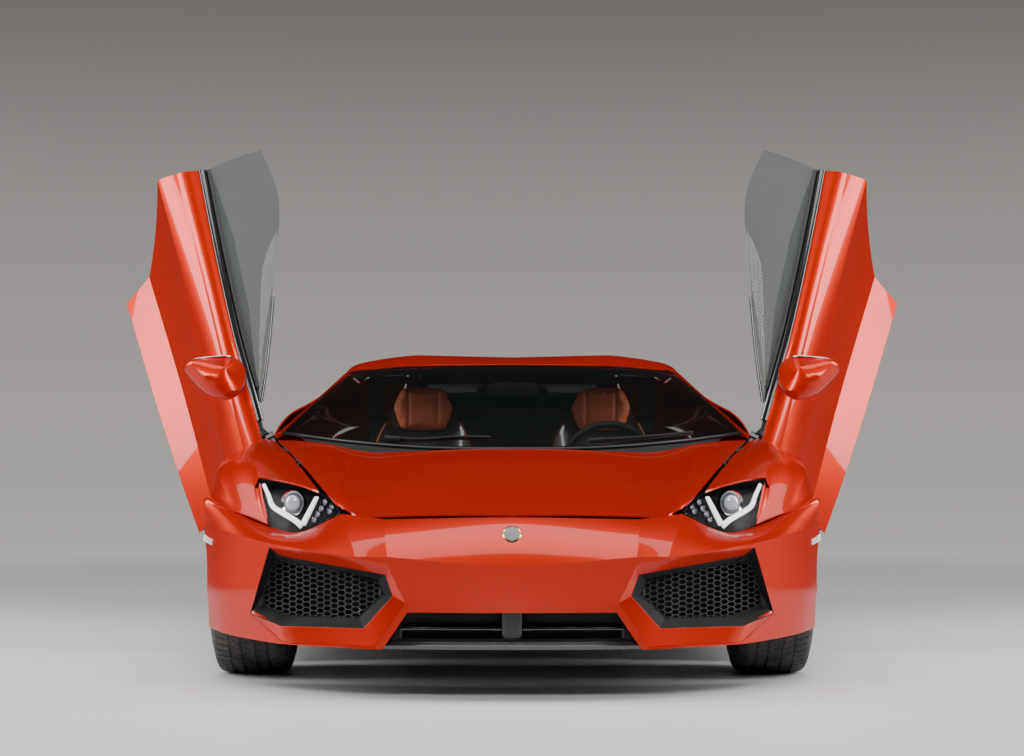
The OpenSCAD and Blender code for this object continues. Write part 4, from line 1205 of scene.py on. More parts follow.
    def _below(self) -> None:
        """Makes the exhaust's outlet with its four pipes, the diffuser's tray and its fins."""
        outline = np.array([(-.15, .352), (.15, .352), (.165, .4), (.145, .452), (-.145, .452), (-.165, .4)])
        ring = inset(outline, .01)
        rows = [np.insert(o, 1, y, axis=1) for o, y in ((outline, 2.2), (outline, 2.384), (ring, 2.384),
            (ring, 2.2))]
        piece("exhaust_outlet", grid(np.array(rows), close_rows=True, close_columns=True), PIPE,
            replaces=("exhaust",), bevel=.002)
        places = (-.1, -.034, .034, .1)
        bores = [tube([(x, y, .402) for y in (2.1, 2.24, 2.33)], .031, 28) for x in places]
        piece("exhaust_pipes", joined(bores), PIPE)
        caps = joined([turned_x([(0, .0005), (.001, .024), (.004, .024), (.004, .0005)], sides=28)
            .turned((0, 0, 1), 90).moved((x, 2.3305, .402)) for x in places])
        piece("exhaust_pipe_mouths", caps, BLACK_SATIN)
        y = np.linspace(0, 1, 25)
        fins = []
        for x in (-.48, -.24, 0, .24, .48):
            ridge = np.stack([1.95 + .35 * y, .213 + 0 * y], 1)
            keel = np.stack([1.95 + .35 * y, .196 - .064 * y ** .6], 1)
            fins.append(prism(np.concatenate([ridge, keel[::-1]]), 0, x - .006, x + .006))
        tray = brick((-.7, 1.9, .2165), (.7, 2.3, .23))
        piece("diffuser_tray", joined([tray, *fins]), CARBON, replaces=("diffuser",), bevel=.0015)


# --- doors ---


@dataclass
class Doors:
    """The scissor doors: skins, cores, trim, glass, mirrors and hinge arms, drawn closed and turned open."""

    low: Rail = ((.982, -.801, .215), (.99, -.6, .21), (1.0, -.25, .212), (1.005, .2, .225))
    fold: Rail = ((.955, -.79, .335), (.948, -.6, .338), (.94, -.25, .345), (.95, .235, .37))
    crease: Rail = ((.977, -.75, .598), (.98, -.56, .63), (.985, -.25, .68), (1.0, .432, .765))
    waist: Rail = ((.955, -.75, .7), (.962, -.56, .735), (.965, -.25, .785), (.957, .405, .85))
    belt: Rail = ((.915, -.75, .784), (.918, -.56, .805), (.925, -.3, .832), (.914, .04, .868),
        (.893, .382, .902))
    window: Rail = ((.884, -.556, .812), (.762, -.15, .946), (.684, .15, 1.04), (.688, .38, 1.04))
    columns: int = 81
    hinge: Point = (0.0, 0.0, 0.0)
    axis: Point = (1.0, 0.0, 0.0)
    degrees: float = 72.0
    bodies: tuple[str, str] = ("door_left", "door_right")

    def __post_init__(self) -> None:
        """Reads the hinge's place and the open angle from the frame."""
        joint = next(j for j in frame["joints"] if j["child"] == "door_left")
        self.hinge, self.axis = joint["pos_m"], joint["axis"]
        self.degrees = -min(joint["range_deg"]) if "range_deg" in joint else self.degrees

    def _open(self, form: Form) -> Form:
        """A closed door's piece turned to where the door stands open."""
        return form.turned(self.axis, self.degrees, self.hinge)

    def _pair(self, name: str, form: Form, finish: Finish, replaces: str = "", **rest: object) -> None:
        """Opens a piece of the left door and makes it and its twin."""
        pair(name, self._open(form), finish, self.bodies, replaces, **rest)

    def build(self) -> None:
        """Makes both doors."""
        rails = [catmull(r, self.columns) for r in (self.low, self.fold, self.crease, self.waist, self.belt)]
        outer = loft(rails, (10, 16, 12, 12), ((0, 0, 0), (-.01, 0, 0), (.005, 0, 0), (.008, 0, .008)))
        self._pair("door_skin", skin(outer, (.5, -.2, .5), .007), PAINT, "door", bevel=.0015, sharp=9)
        s = np.linspace(0, 12, self.columns)
        depth = .028 + .072 * np.clip(np.minimum((s - 2.3) / 5, .4 + (12 - s) / 4), 0, 1)
        core = outer[1:-1]
        self._pair("door_core", shell(core - (.008, 0, 0), core - np.stack([depth, 0 * depth, 0 * depth], 1)),
            BLACK_SATIN, bevel=.003, sharp=30)
        self._trim(outer, depth)
        self._glass(rails[-1])
        self._mirror()
        self._hinge_arm()

    def _trim(self, outer: Array, depth: Array) -> None:
        """Makes the inner card: a leather panel, an armrest with its seam, and a pull."""
        inner = outer - np.stack([depth + .001, 0 * depth, 0 * depth], 1)
        card = inner[18:46, 26:76]
        self._pair("door_card", shell(card, card - (.012, 0, 0)), TRIM, bevel=.004, sharp=40)
        rest = catmull(((.862, -.33, .56), (.862, -.1, .59), (.866, .12, .64), (.87, .26, .7)), 40)
        pad = carry(oblong(.06, .046, .018), rest, (0, 0, 1), np.sin(np.linspace(.35, math.pi - .35, 40)) ** .4)
        self._pair("door_armrest", pad, RUST_LEATHER, sharp=50)
        seam = tube(rest + (-.0285, 0, .012), .0012, 6)
        self._pair("door_armrest_seam", seam, THREAD)
        pull = catmull(((.85, -.02, .7), (.828, .02, .712), (.828, .11, .728), (.85, .15, .738)), 24)
        self._pair("door_pull", carry(oblong(.016, .022, .006), pull), ALLOY, bevel=.001)

    def _glass(self, belt: Array) -> None:
        """Makes the window glass, the belt's black rail, the seal, and the guide at the glass's front."""
        foot = catmull(belt[20::6], 61) + (-.034, 0, .0003)
        head = catmull(self.window, 61)
        glass = loft([foot, head], (20,), ((.008, 0, .008),))
        self._pair("door_glass", skin(glass, (.3, 0, .6), .005), SIDE_GLASS, "door_glass", bevel=.001)
        line = belt[14:] + (-.012, 0, .004)
        self._pair("door_belt_rail", carry(oblong(.026, .014, .005), line), BLACK_GLOSS, bevel=.001)
        seal = belt[25:] + (-.038, 0, .002)
        self._pair("door_glass_seal", carry(oblong(.016, .016, .005), seal), SEAL)
        edge = catmull(((.884, -.556, .814), (.83, -.4, .866), (.77, -.19, .934)), 30)
        self._pair("door_glass_edge", carry(oblong(.01, .012, .003), edge + (-.004, 0, -.004)), BLACK_GLOSS)
        web = [belt[25:36] + (-.036, 0, .003), belt[25:36] + (-.06, 0, -.04)]
        self._pair("door_glass_guide", skin(loft(web, (5,)), (.3, 0, .6), .006), BLACK_SATIN, bevel=.001)

    def _mirror(self) -> None:
        """Makes the mirror's wedge-shaped housing, its stalk and its glass."""
        ring = catmull([(.935, -.452, .852), (.965, -.52, .862), (1.03, -.56, .876), (1.11, -.53, .884),
            (1.16, -.455, .88), (1.165, -.405, .872), (1.06, -.396, .858), (.955, -.402, .846),
            (.935, -.452, .852)], 57)[:-1]
        middle = ring.mean(0)
        rise = np.array([-.046, -.044, -.03, -.01, .012, .034, .05, .056])
        draw = np.array([.06, .78, .95, 1.0, .99, .9, .62, .05])
        shape = np.array([(ring - middle) * (d, d, 1) + middle + (0, 0, lift) for lift, d in zip(rise, draw)])
        self._pair("mirror_housing", grid(shape, close_columns=True), PAINT, "mirror", sharp=38)
        glass = pod((1.06, -.4, .864), (.084, .004, .032), 4.0, 20, 40)
        self._pair("mirror_glass", glass, REFLECTOR, sharp=60)
        stalk = catmull(((.905, -.44, .806), (.935, -.444, .818), (.965, -.45, .832), (1.0, -.455, .842)), 20)
        self._pair("mirror_stalk", carry(oblong(.04, .018, .006), stalk), BLACK_GLOSS, bevel=.001)

    def _hinge_arm(self) -> None:
        """Makes the arm between the hinge's pin and the door."""
        arm = catmull(((.9, -.7, .79), (.905, -.64, .745), (.915, -.56, .69), (.925, -.47, .65)), 24)
        self._pair("door_hinge_arm", carry(oblong(.03, .052, .01), arm), BLACK_SATIN, bevel=.002)


# --- wheels ---


@dataclass
class Wheel:
    """One corner's tyre, rim, disc and caliper, drawn on the left and mirrored for the right."""

    name: str
    centre: Point
    radius: float
    width: float
    rim: float
    wheel: str
    carrier: str
    right: bool = False
    sides: int = 432
    blocks: int = 72

    def _put(self, name: str, form: Form, finish: Finish, body: str, nodes: tuple = (), **rest: object) -> None:
        """Moves a piece to the wheel's centre, mirrors it for the right side and makes it."""
        placed = form.moved(self.centre)
        placed = placed.mirrored() if self.right else placed
        piece(f"{name}_{self.name}", placed, finish, body, replaces=nodes, **rest)

    def _tyre(self) -> Form:
        """The tyre: its section turned round the axle, with grooves and blocks pressed into the tread."""
        h, r, rim = self.width / 2, self.radius, self.rim
        wall = catmull([(h - .018, rim, 0), (h - .003, rim + .012, 0), (h, rim + .032, 0),
            (h - .003, r - .045, 0), (h - .01, r - .018, 0), (h - .022, r - .006, 0), (h - .042, r, 0)], 18)[:,
            :2]
        cut = np.array([g + e for g in (-.62, -.24, .24, .62) for e in (-.058, -.046, .046, .058)]) * (h - .03)
        flat = np.sort(np.concatenate([np.linspace(-1, 1, 19)[1:-1] * (h - .042), cut]))[::-1]
        tread = np.stack([flat, np.full(len(flat), r)], 1)
        bore = np.array([(h - .03, rim + .004), (h - .014, rim + .032), (h - .018, r - .045),
            (h - .05, r - .014)])
        section = np.concatenate([wall, tread, wall[::-1] * (-1, 1), bore * (-1, 1), bore[::-1]])
        x = section[:, 0]
        step = np.arange(self.sides)[:, None] * self.blocks / self.sides
        on_tread = (section[:, 1] > r - .012) & (np.arange(len(x)) < 2 * len(wall) + len(tread))
        edge = np.abs(x) > .62 * (h - .03)
        slant = np.where(edge, 8 * np.abs(x), 30 * x)
        across_cut = ((step + slant) % 1 < .17) & on_tread
        nearest = np.min(np.abs(x[:, None] - np.array([-.62, -.24, .24, .62]) * (h - .03)), 1)
        along_cut = (nearest < .05 * (h - .03)) & on_tread
        ribs = .0009 * np.sin((section[:, 1] - rim) * 900) * ((section[:, 1] < r - .03) &
            (np.abs(x) > h - .012))
        wobble = ribs - .0055 * along_cut - .0045 * (across_cut & ~along_cut)
        return turned_x(section, ORIGIN, self.sides, wobble)

    def _rim(self) -> Form:
        """The barrel, five pairs of spokes that spread towards it, and the hub."""
        h, r = self.width / 2 - .018, self.rim
        barrel = [(-h, r - .001), (-h + .02, r - .006), (h - .02, r - .006), (h, r - .001), (h, r - .01),
            (h - .01, r - .018), (h - .03, r - .02), (0, r - .0205), (-h + .02, r - .018), (-h, r - .012)]
        face = self.width / 2
        parts = [turned_x(barrel, sides=144)]
        s = np.linspace(0, 1, 22)
        reach = .05 + (r - .066) * s
        depth = face - .06 + .03 * s**1.6
        for turn in range(5):
            for lean in (-1, 1):
                a = np.radians(turn * 72 + 90 + lean * (3 + 13 * s**.8))
                path = np.stack([depth, reach * np.cos(a), reach * np.sin(a)], 1)
                parts.append(carry(oblong(.032, .024, .006), path, (1, 0, 0), 1.05 - .35 * s + .25 * s**4))
        hub = [(face - .078, 0), (face - .078, .06), (face - .052, .062), (face - .042, .052),
            (face - .044, .036), (face - .044, 0)]
        parts.append(turned_x(hub, sides=60))
        return joined(parts)

    def _disc(self) -> Form:
        """The vented disc: two plates, the vanes between them and the hat."""
        plates = [turned_x([(x, .118), (x, .198), (x + .008, .199), (x + .008, .118)], sides=120) for x in
            (-.022, .004)]
        vanes = []
        for k in range(40):
            a = k * 2 * math.pi / 40 + np.linspace(0, .1, 5)
            r = np.linspace(.12, .195, 5)
            vanes.append(carry(oblong(.005, .019, .001, 2),
                np.stack([np.full(5, -.005), r * np.cos(a), r * np.sin(a)], 1), (1, 0, 0)))
        top = self.width / 2 - .0785
        hat = [(-.02, 0), (-.02, .12), (.01, .12), (.012, .074), (top, .068), (top, 0)]
        return joined([*plates, *vanes, turned_x(hat, sides=72)])

    def _caliper(self) -> tuple[Form, Form]:
        """The caliper's bridge round the back of the disc, and its piston caps."""
        a = np.radians(np.linspace(-31, 31, 27))
        outline = np.array([(-.044, .124), (-.044, .205), (-.034, .2195), (.034, .2195), (.044, .205),
            (.044, .124), (.024, .122), (.024, .207), (-.034, .207), (-.034, .122)])
        waist = 1 - .01 * np.cos(a / a.max() * math.pi * 1.5)[:, None]
        ring = np.stack([np.broadcast_to(outline[None, :, 0], (27, 10)), outline[None, :, 1] * waist *
            np.cos(a)[:, None], outline[None, :, 1] * waist * np.sin(a)[:, None]], 2)
        body = grid(ring, close_columns=True)
        body.faces += [list(range(10))[::-1], list(range(260, 270))]
        caps = joined([turned_x([(.042, 0), (.042, .019), (.047, .017), (.048, .012), (.0465, 0)],
            (0, .166 * math.cos(t), .166 * math.sin(t)), 28) for t in (-.35, 0, .35)])
        return body, caps

    def build(self) -> None:
        """Makes the whole wheel."""
        self._put("tyre", self._tyre(), RUBBER, self.wheel, (f"tyre_{self.name}",), sharp=28)
        self._put("rim", self._rim(), RIM_BLACK, self.wheel, (f"rim_{self.name}",), bevel=.0012, sharp=30)
        self._put("disc", self._disc(), STEEL, self.wheel, (f"brake_{self.name}",), sharp=30)
        face = self.width / 2
        cap = turned_x([(face - .05, 0), (face - .05, .034), (face - .04, .033), (face - .037, .026),
            (face - .0355, 0)], sides=48)
        self._put("centre_cap", cap, BLACK_GLOSS, self.wheel, sharp=40)
        bolts = []
        for k in range(5):
            a = math.radians(72 * k + 54)
            nut = prism(disc(6, .0105), 0, face - .054, face - .04)
            bolts.append(nut.moved((0, .048 * math.cos(a), .048 * math.sin(a))))
        self._put("wheel_bolts", joined(bolts), STEEL, self.wheel, bevel=.001)
        body, caps = self._caliper()
        self._put("caliper", body, CALIPER, self.carrier, bevel=.0025, sharp=30)
        self._put("caliper_pistons", caps, STEEL, self.carrier, sharp=30)


# --- cabin ---


@dataclass
class Seat:
    """A bucket seat: a hard shell with padded leather pieces in it, drawn on the left and mirrored."""

    x: float = .365
    voxel: float = .006
    pressure: float = 4.0
    path: Rail = ((0, -.25, .215), (0, -.12, .188), (0, .06, .186), (0, .19, .212), (0, .262, .33),
        (0, .318, .48), (0, .372, .64), (0, .418, .8), (0, .446, .9), (0, .452, .985))
    half: Point = (.19, .212, .226, .228, .224, .226, .222, .18, .128, .098)
    wing: Point = (.07, .095, .105, .12, .13, .125, .105, .045, .018, .01)

    def _puffed(self, name: str, form: Form, cap: float) -> Form:
        """A padded piece blown up like cloth over foam.

        The form is remeshed, then pressed outwards by air inside it, and no point moves further
        than the cap.

        Args:
            name: a name for the work.
            form: the closed form, a little smaller than the finished pad.
            cap: how far a point may move.

        Returns:
            The blown-up form.
        """
        work = as_object(f"{name}_work", form)
        net = work.modifiers.new("net", "REMESH")
        net.mode, net.voxel_size = "VOXEL", self.voxel
        baked(work)
        rest = np.array([v.co for v in work.data.vertices])
        cloth = work.modifiers.new("cloth", "CLOTH")
        cloth.settings.use_pressure = True
        cloth.settings.uniform_pressure_force = self.pressure
        cloth.settings.effector_weights.gravity = 0
        scene = bpy.context.scene
        for step in range(1, 21):
            scene.frame_set(step)
        ready = work.evaluated_get(bpy.context.evaluated_depsgraph_get())
        moved = np.array([v.co for v in ready.data.vertices])
        scene.frame_set(1)
        step = moved - rest
        length = np.linalg.norm(step, axis=1, keepdims=True)
        held = rest + step * np.minimum(1, cap / np.maximum(length, 1e-9))
        made = Form(held, [list(p.vertices) for p in work.data.polygons])
        bpy.data.objects.remove(work)
        return made

    @staticmethod
    def _channelled(form: Form, lines: Sequence[tuple], depth: float = .005, width: float = .006) -> Form:
        """Sewn channels: points near a line sink by depth * exp(-(distance / width)^2) towards the seat's shell.

        Args:
            form: the pad.
            lines: each an axis, a level and the direction that the channel sinks in.
            depth: depth of a channel.
            width: its half width.

        Returns:
            The pad with its channels.
        """
        points = form.points.copy()
        for axis, level, sink in lines:
            near = np.exp(-((points[:, axis] - level) / width) ** 2)[:, None]
            points += near * depth * np.asarray(sink, float)
        return Form(points, form.faces)

    def _shell(self) -> Array:
        """The bucket: across the path, a row of points whose ends rise as wing * |u|^3."""
        line = catmull(self.path, 61)
        s = np.linspace(0, 1, 61)
        keys = np.linspace(0, 1, len(self.half))
        half, wing = np.interp(s, keys, self.half), np.interp(s, keys, self.wing)
        ahead = np.gradient(line, axis=0)
        ahead /= np.linalg.norm(ahead, axis=1, keepdims=True)
        up = np.stack([0 * s, -ahead[:, 2], ahead[:, 1]], 1)
        u = np.linspace(-1, 1, 45)
        reach = half[:, None] * u
        rows = line[:, None] + np.stack([reach, 0 * reach, 0 * reach], 2)
        rows = rows + up[:, None] * (wing[:, None] * np.abs(u) ** 3.5)[:, :, None]
        return rows + (self.x, 0, 0)

    def build(self) -> None:
        """Makes both seats."""
        bucket = self._shell()
        piece_left = skin(bucket, (self.x, 0, 5.0), .007)
        for side, form in (("left", piece_left), ("right", piece_left.mirrored())):
            piece(f"seat_shell_{side}", form, CARBON, replaces=(f"seat_{side}",), bevel=.002, sharp=40)
        lean = -20.0
        x = self.x
        base = pod((x, -.02, .246), (.138, .2, .036), 4.0, 28, 48).turned((1, 0, 0), 3, (x, 0, .24))
        back = pod((x, .27, .545), (.14, .03, .19), 3.6, 36, 44).turned((1, 0, 0), lean, (x, .27, .545))
        hip = carry(oblong(.052, .07, .022), catmull(((x + .176, -.215, .252), (x + .184, -.06, .262),
            (x + .19, .09, .272), (x + .186, .185, .3)), 24))
        wing = carry(oblong(.046, .086, .02),
            catmull(((x + .188, .19, .37), (x + .192, .24, .5), (x + .18, .3, .64), (x + .15, .352, .745)), 26),
            (0, -1, .4))
        outline = np.array([(-.078, .838), (-.092, .846), (-.122, .925), (-.118, .945), (-.09, 1.002),
            (-.078, 1.008), (.078, 1.008), (.09, 1.002), (.118, .945), (.122, .925), (.092, .846),
            (.078, .838)])
        head = prism(outline, 1, .38, .432).moved((x, 0, 0))
        pads = {"seat_cushion": (base, .012, [(0, x - .066, (0, 0, -1)), (0, x + .066, (0, 0, -1)),
            (1, .06, (0, 0, -1)), (1, -.07, (0, 0, -1))]),
            "seat_back": (back, .012, [(0, x - .066, (0, .94, -.34)), (0, x + .066, (0, .94, -.34)),
            (2, .5, (0, .94, -.34)), (2, .6, (0, .94, -.34))]), "seat_hip_bolster_outer": (hip, .009, []),
            "seat_back_bolster_outer": (wing, .009, []), "seat_headrest": (head, .008,
            [(0, x - .06, (0, 1, 0)), (0, x + .06, (0, 1, 0))]),}
        for name, (form, cap, lines) in pads.items():
            puffed = self._channelled(self._puffed(name, form, cap), lines)
            shapes = {name: puffed}
            if name.endswith("_outer"):
                twin = puffed.moved((-x, 0, 0)).mirrored().moved((x, 0, 0))
                shapes[name.replace("_outer", "_inner")] = twin
            for key, shape in shapes.items():
                for side, final in (("left", shape), ("right", shape.mirrored())):
                    pad = piece(f"{key}_{side}", final, RUST_LEATHER, sharp=70, subdivide=1)
        rim = bucket[:, 0], bucket[:, -1]
        piping = joined([tube(edge[2:52:2], .0035, 8) for edge in rim])
        piece("seat_piping", piping.both(), THREAD)


@dataclass
class Cabin:
    """The dashboard, the steering wheel, the console, the sills and the mirror."""

    wheel_centre: Point = (.365, -.42, .69)
    wheel_tilt: float = -68.0
    wheel_radius: float = .17

    def _on_wheel(self, form: Form) -> Form:
        """A piece drawn flat round the steering wheel's axis, tilted and put in place."""
        return form.turned((1, 0, 0), self.wheel_tilt).moved(self.wheel_centre)

    def build(self) -> None:
        """Makes every piece of the cabin except the seats."""
        self._dashboard()
        self._steering()
        self._console()
        self._shell()

    @staticmethod
    def _dashboard() -> None:
        """Makes the dashboard with its hooded binnacle, screen and vents."""
        x = np.linspace(-.698, .698, 91)
        hood = .04 * np.exp(-((x - .365) / .17) ** 4)
        side = .02 * np.abs(x / .7) ** 3
        rows = []
        for at, b, low in zip(x, hood, side):
            loop = [(-.878, .686), (-.8, .712 - low), (-.69, .726 + b - low), (-.612, .722 + b - low),
                (-.59, .712 + b - low), (-.596, .7), (-.566, .668), (-.56, .63), (-.58, .585), (-.64, .56),
                (-.76, .552), (-.878, .562)]
            smooth = catmull([(at, y, z) for y, z in loop + loop[:1]], 61)[:-1]
            rows.append(smooth)
        ring = np.array(rows)
        body = grid(ring, close_columns=True)
        last = (len(x) - 1) * 60
        body.faces += [list(range(60))[::-1], list(range(last, last + 60))]
        piece("dashboard_pad", body, TRIM, replaces=("dashboard",), sharp=45)
        screen = brick((-.135, -.004, -.04), (.135, .004, .04)).turned((1, 0, 0), -28).moved((.365, -.577, .7))
        middle = brick((-.11, -.004, -.055), (.11, .004, .055)).turned((1, 0, 0), -34).moved((0, -.548, .632))
        piece("screens", screen + middle, BLACK_GLOSS, bevel=.002)
        rings, slats = [], []
        for at in (-.6, -.4, .155, .6):
            hexagon = disc(6, .036) * (1.15, .8)
            ring = [np.insert(o, 1, y, axis=1) for o, y in ((hexagon, -.575), (hexagon, -.552),
                (hexagon * .82, -.552), (hexagon * .82, -.575))]
            rings.append(grid(np.array(ring), close_rows=True, close_columns=True).moved((at, 0, .655)))
            for level in (-.014, 0, .014):
                slats.append(brick((at - .026, -.572, .655 + level - .0012),
                    (at + .026, -.556, .655 + level + .0012)))
        piece("vent_rings", joined(rings), ALLOY, bevel=.0012)
        piece("vent_slats", joined(slats), BLACK_SATIN)

    def _steering(self) -> None:
        """Makes the steering wheel: a flat-bottomed rim, three spokes, the hub and the column."""
        a = round_steps(120)
        r = self.wheel_radius
        y = np.minimum(r * np.sin(a), .14 + .02 * np.sin(a))
        path = np.stack([r * np.cos(a), y, 0 * a], 1)
        grip = 1 + .1 * np.exp(-((np.abs(np.cos(a)) - .93) / .1) ** 2)
        ring = carry(oblong(.026, .032, .012), path, (0, 0, 1), grip, True)
        piece("steering_wheel_rim", self._on_wheel(ring), TRIM, replaces=("steering_wheel",), sharp=50)
        stitch = carry(disc(6, .0012), path * (.926, .926, 1) + (0, 0, .006), (0, 0, 1), 1.0, True)
        piece("steering_wheel_stitching", self._on_wheel(stitch), THREAD)
        s = np.linspace(0, 1, 12)[:, None]
        spokes = []
        for end in ((.16, .004, 0), (-.16, .004, 0), (.03, .148, 0), (-.03, .148, 0)):
            start = np.array((np.sign(end[0]) * .03, .012, .006))
            spokes.append(carry(oblong(.03, .01, .004), start + (np.array(end) - start) * s, (0, 0, 1), .9))
        piece("steering_wheel_spokes", self._on_wheel(joined(spokes)), BLACK_GLOSS, bevel=.001)
        hub = pod((0, .004, .006), (.052, .046, .02), 3.0, 24, 40)
        piece("steering_wheel_hub", self._on_wheel(hub), TRIM, sharp=60)
        column = turned_x([(-.14, 0), (-.14, .023), (-.03, .023), (-.008, .034), (-.004, 0)], sides=40)
        column = column.turned((0, 1, 0), -90)
        piece("steering_column", self._on_wheel(column), BLACK_SATIN, sharp=40)

    @staticmethod
    def _console() -> None:
        """Makes the console on the tunnel, with its carbon inlay, switches and armrest."""
        path = catmull(((0, -.6, .56), (0, -.5, .52), (0, -.36, .44), (0, -.18, .392), (0, .1, .384),
            (0, .38, .392), (0, .56, .4)), 60)
        piece("console_body", carry(oblong(.2, .11, .03), path - (0, 0, .045)), TRIM, sharp=40)
        piece("console_inlay", carry(oblong(.13, .006, .002), path[8:40] + (0, 0, .0115)), CARBON, bevel=.001)
        keys = []
        for row in range(14, 36, 4):
            for x in (-.042, -.014, .014, .042):
                keys.append(pod((x, path[row, 1], path[row, 2] + .018), (.01, .007, .006), 3.5, 10, 16))
        piece("console_switches", joined(keys), ALLOY, sharp=60)
        rest = pod((0, .25, .418), (.085, .15, .03), 3.2, 24, 40)
        piece("console_armrest", rest, RUST_LEATHER, sharp=60)

    @staticmethod
    def _shell() -> None:
        """Makes the sill covers, the tread plates, the bulkhead's trim, the carpets and the mirror."""
        sill = catmull(((.768, -.7, .322), (.769, -.3, .32), (.769, .1, .322), (.766, .4, .336)), 50)
        piece("sill_covers", carry(oblong(.1, .056, .022), sill).both(), CARBON, sharp=40)
        plate = catmull(((.769, -.42, .3495), (.769, -.1, .3485), (.768, .24, .353)), 30)
        piece("sill_tread_plates", carry(oblong(.05, .005, .002), plate).both(), ALLOY, bevel=.001)
        x = np.linspace(-1, 1, 41)
        z = np.linspace(.37, .88, 25)
        rows = [np.stack([x * (.59 - .03 * (level - .37)), .592 - .02 * np.cos(x * math.pi * 2) * (level < .7) -
            .03 * (level - .37), np.full(41, level)], 1) for level in z]
        piece("bulkhead_trim", skin(np.array(rows), (0, 5, .6), .01), TRIM, bevel=.002)
        mat = brick((.15, -.84, .171), (.6, -.27, .18))
        piece("floor_mats", mat.both(), TRIM, bevel=.003)
        mirror = pod((0, -.15, .985), (.105, .012, .03), 3.4, 24, 44)
        stem = tube(catmull(((0, -.152, .99), (0, -.165, 1.02), (0, -.176, 1.042)), 10), .007, 12)
        piece("cabin_mirror", mirror + stem, BLACK_SATIN, sharp=60)
        glass = pod((0, -.136, .985), (.096, .003, .024), 3.6, 16, 36)
        piece("cabin_mirror_glass", glass, REFLECTOR, sharp=60)


# --- below and between ---


@dataclass
class Underbody:
    """The side blades, the side intakes and the engine, with finishes for the frame's own pieces."""

    kept: tuple = (("tub", CARBON), ("subframes", ALLOY), ("undertray", BLACK_SATIN), ("luggage_tray", TRIM),
        ("arch_liners", BLACK_SATIN), ("suspension", ALLOY), ("front_knuckle_left", ALLOY),
        ("front_knuckle_right", ALLOY))

    def build(self) -> None:
        """Makes the pieces and finishes the frame's own."""
        for node, finish in self.kept:
            shown = frame["nodes"][node]
            shown.data.materials.clear()
            shown.data.materials.append(finish.material())
            LOG.info("%s: the frame's own piece in %s", node, finish.name)
        self._skirts()
        self._intakes()
        self._engine()

    @staticmethod
    def _skirts() -> None:
        """Makes the rockers and the blades under the doors."""
        section = np.array([(-.07, -.03), (.056, -.033), (.068, -.02), (.062, .004), (.03, .028),
            (-.07, .0295)])
        y = np.linspace(-.985, .9, 60)
        s = (y + .985) / 1.885
        path = np.stack([.9125 + .003 * np.sin(s * math.pi), y, .1675 + 0 * y], 1)
        blade = carry(section * (-1, 1), path, (0, 0, 1), 1 - .03 * (1 - np.sin(s * math.pi)) ** 2)
        rocker = prism([(.43, .195), (.94, .195), (.925, .27), (.905, .33), (.43, .345)], 0, .85, .966)
        piece("rockers", rocker.both(), BLACK_SATIN, bevel=.006)
        piece("side_blades", blade.both(), BLACK_GLOSS, replaces=("side_skirts",), bevel=.003, sharp=25)

    @staticmethod
    def _intakes() -> None:
        """Makes the walls of the tall intakes behind the doors."""
        z = np.linspace(.236, .7, 30)
        outer = np.stack([np.interp(z, (.236, .7), (.966, .968)), np.interp(z, (.236, .5, .7),
            (.556, .552, .5)), z], 1)
        inner = np.stack([np.full(30, .852), np.interp(z, (.236, .7), (.265, .3)), z], 1)
        mid = np.stack([np.full(30, .864), np.full(30, .405), z], 1)
        wall = loft([inner, mid, outer], (10, 10))
        piece("side_intake_walls", skin(wall, (2, 0, .5), .008).both(), BLACK_SATIN, replaces=("side_intakes",),
            bevel=.002)

    @staticmethod
    def _engine() -> None:
        """Makes the block, two ribbed cam covers, the plenum, its runners and the hoses."""
        block = pod((0, 1.1, .44), (.3, .395, .205), 6.0, 30, 48)
        piece("engine_body", block, ALLOY, replaces=("engine_block",), sharp=50)
        covers = []
        for side in (-1, 1):
            cover = pod((0, 0, 0), (.085, .36, .045), 4.5, 24, 48).turned((0, 1, 0), side * 28)
            covers.append(cover.moved((side * .205, 1.1, .655)))
            for k in range(9):
                rib = carry(oblong(.008, .01, .003),
                    np.array([(x, .78 + k * .08, .006) for x in np.linspace(-.07, .07, 6)]))
                covers.append(rib.moved((0, 0, .044)).turned((0, 1, 0), side * 28).moved((side * .205, 0,
                    .655)))
        piece("cam_covers", joined(covers), RIM_BLACK, sharp=50)
        plenum = pod((0, 1.1, .715), (.12, .33, .042), 3.6, 28, 48)
        runners = [tube(catmull(((s * .06, y, .72), (s * .13, y, .742), (s * .19, y, .722), (s * .215, y, .69)),
            14), .019, 14) for s in (-1, 1) for y in np.linspace(.84, 1.36, 5)]
        piece("intake_plenum", joined([plenum, *runners]), ALLOY, sharp=60)
        hoses = [tube(catmull(((s * .1, .8, .7), (s * .18, .74, .66), (s * .26, .72, .56), (s * .28, .74, .42)),
            22), .02, 14) for s in (-1, 1)]
        piece("coolant_hoses", joined(hoses), SEAL, sharp=60)


# --- studio ---


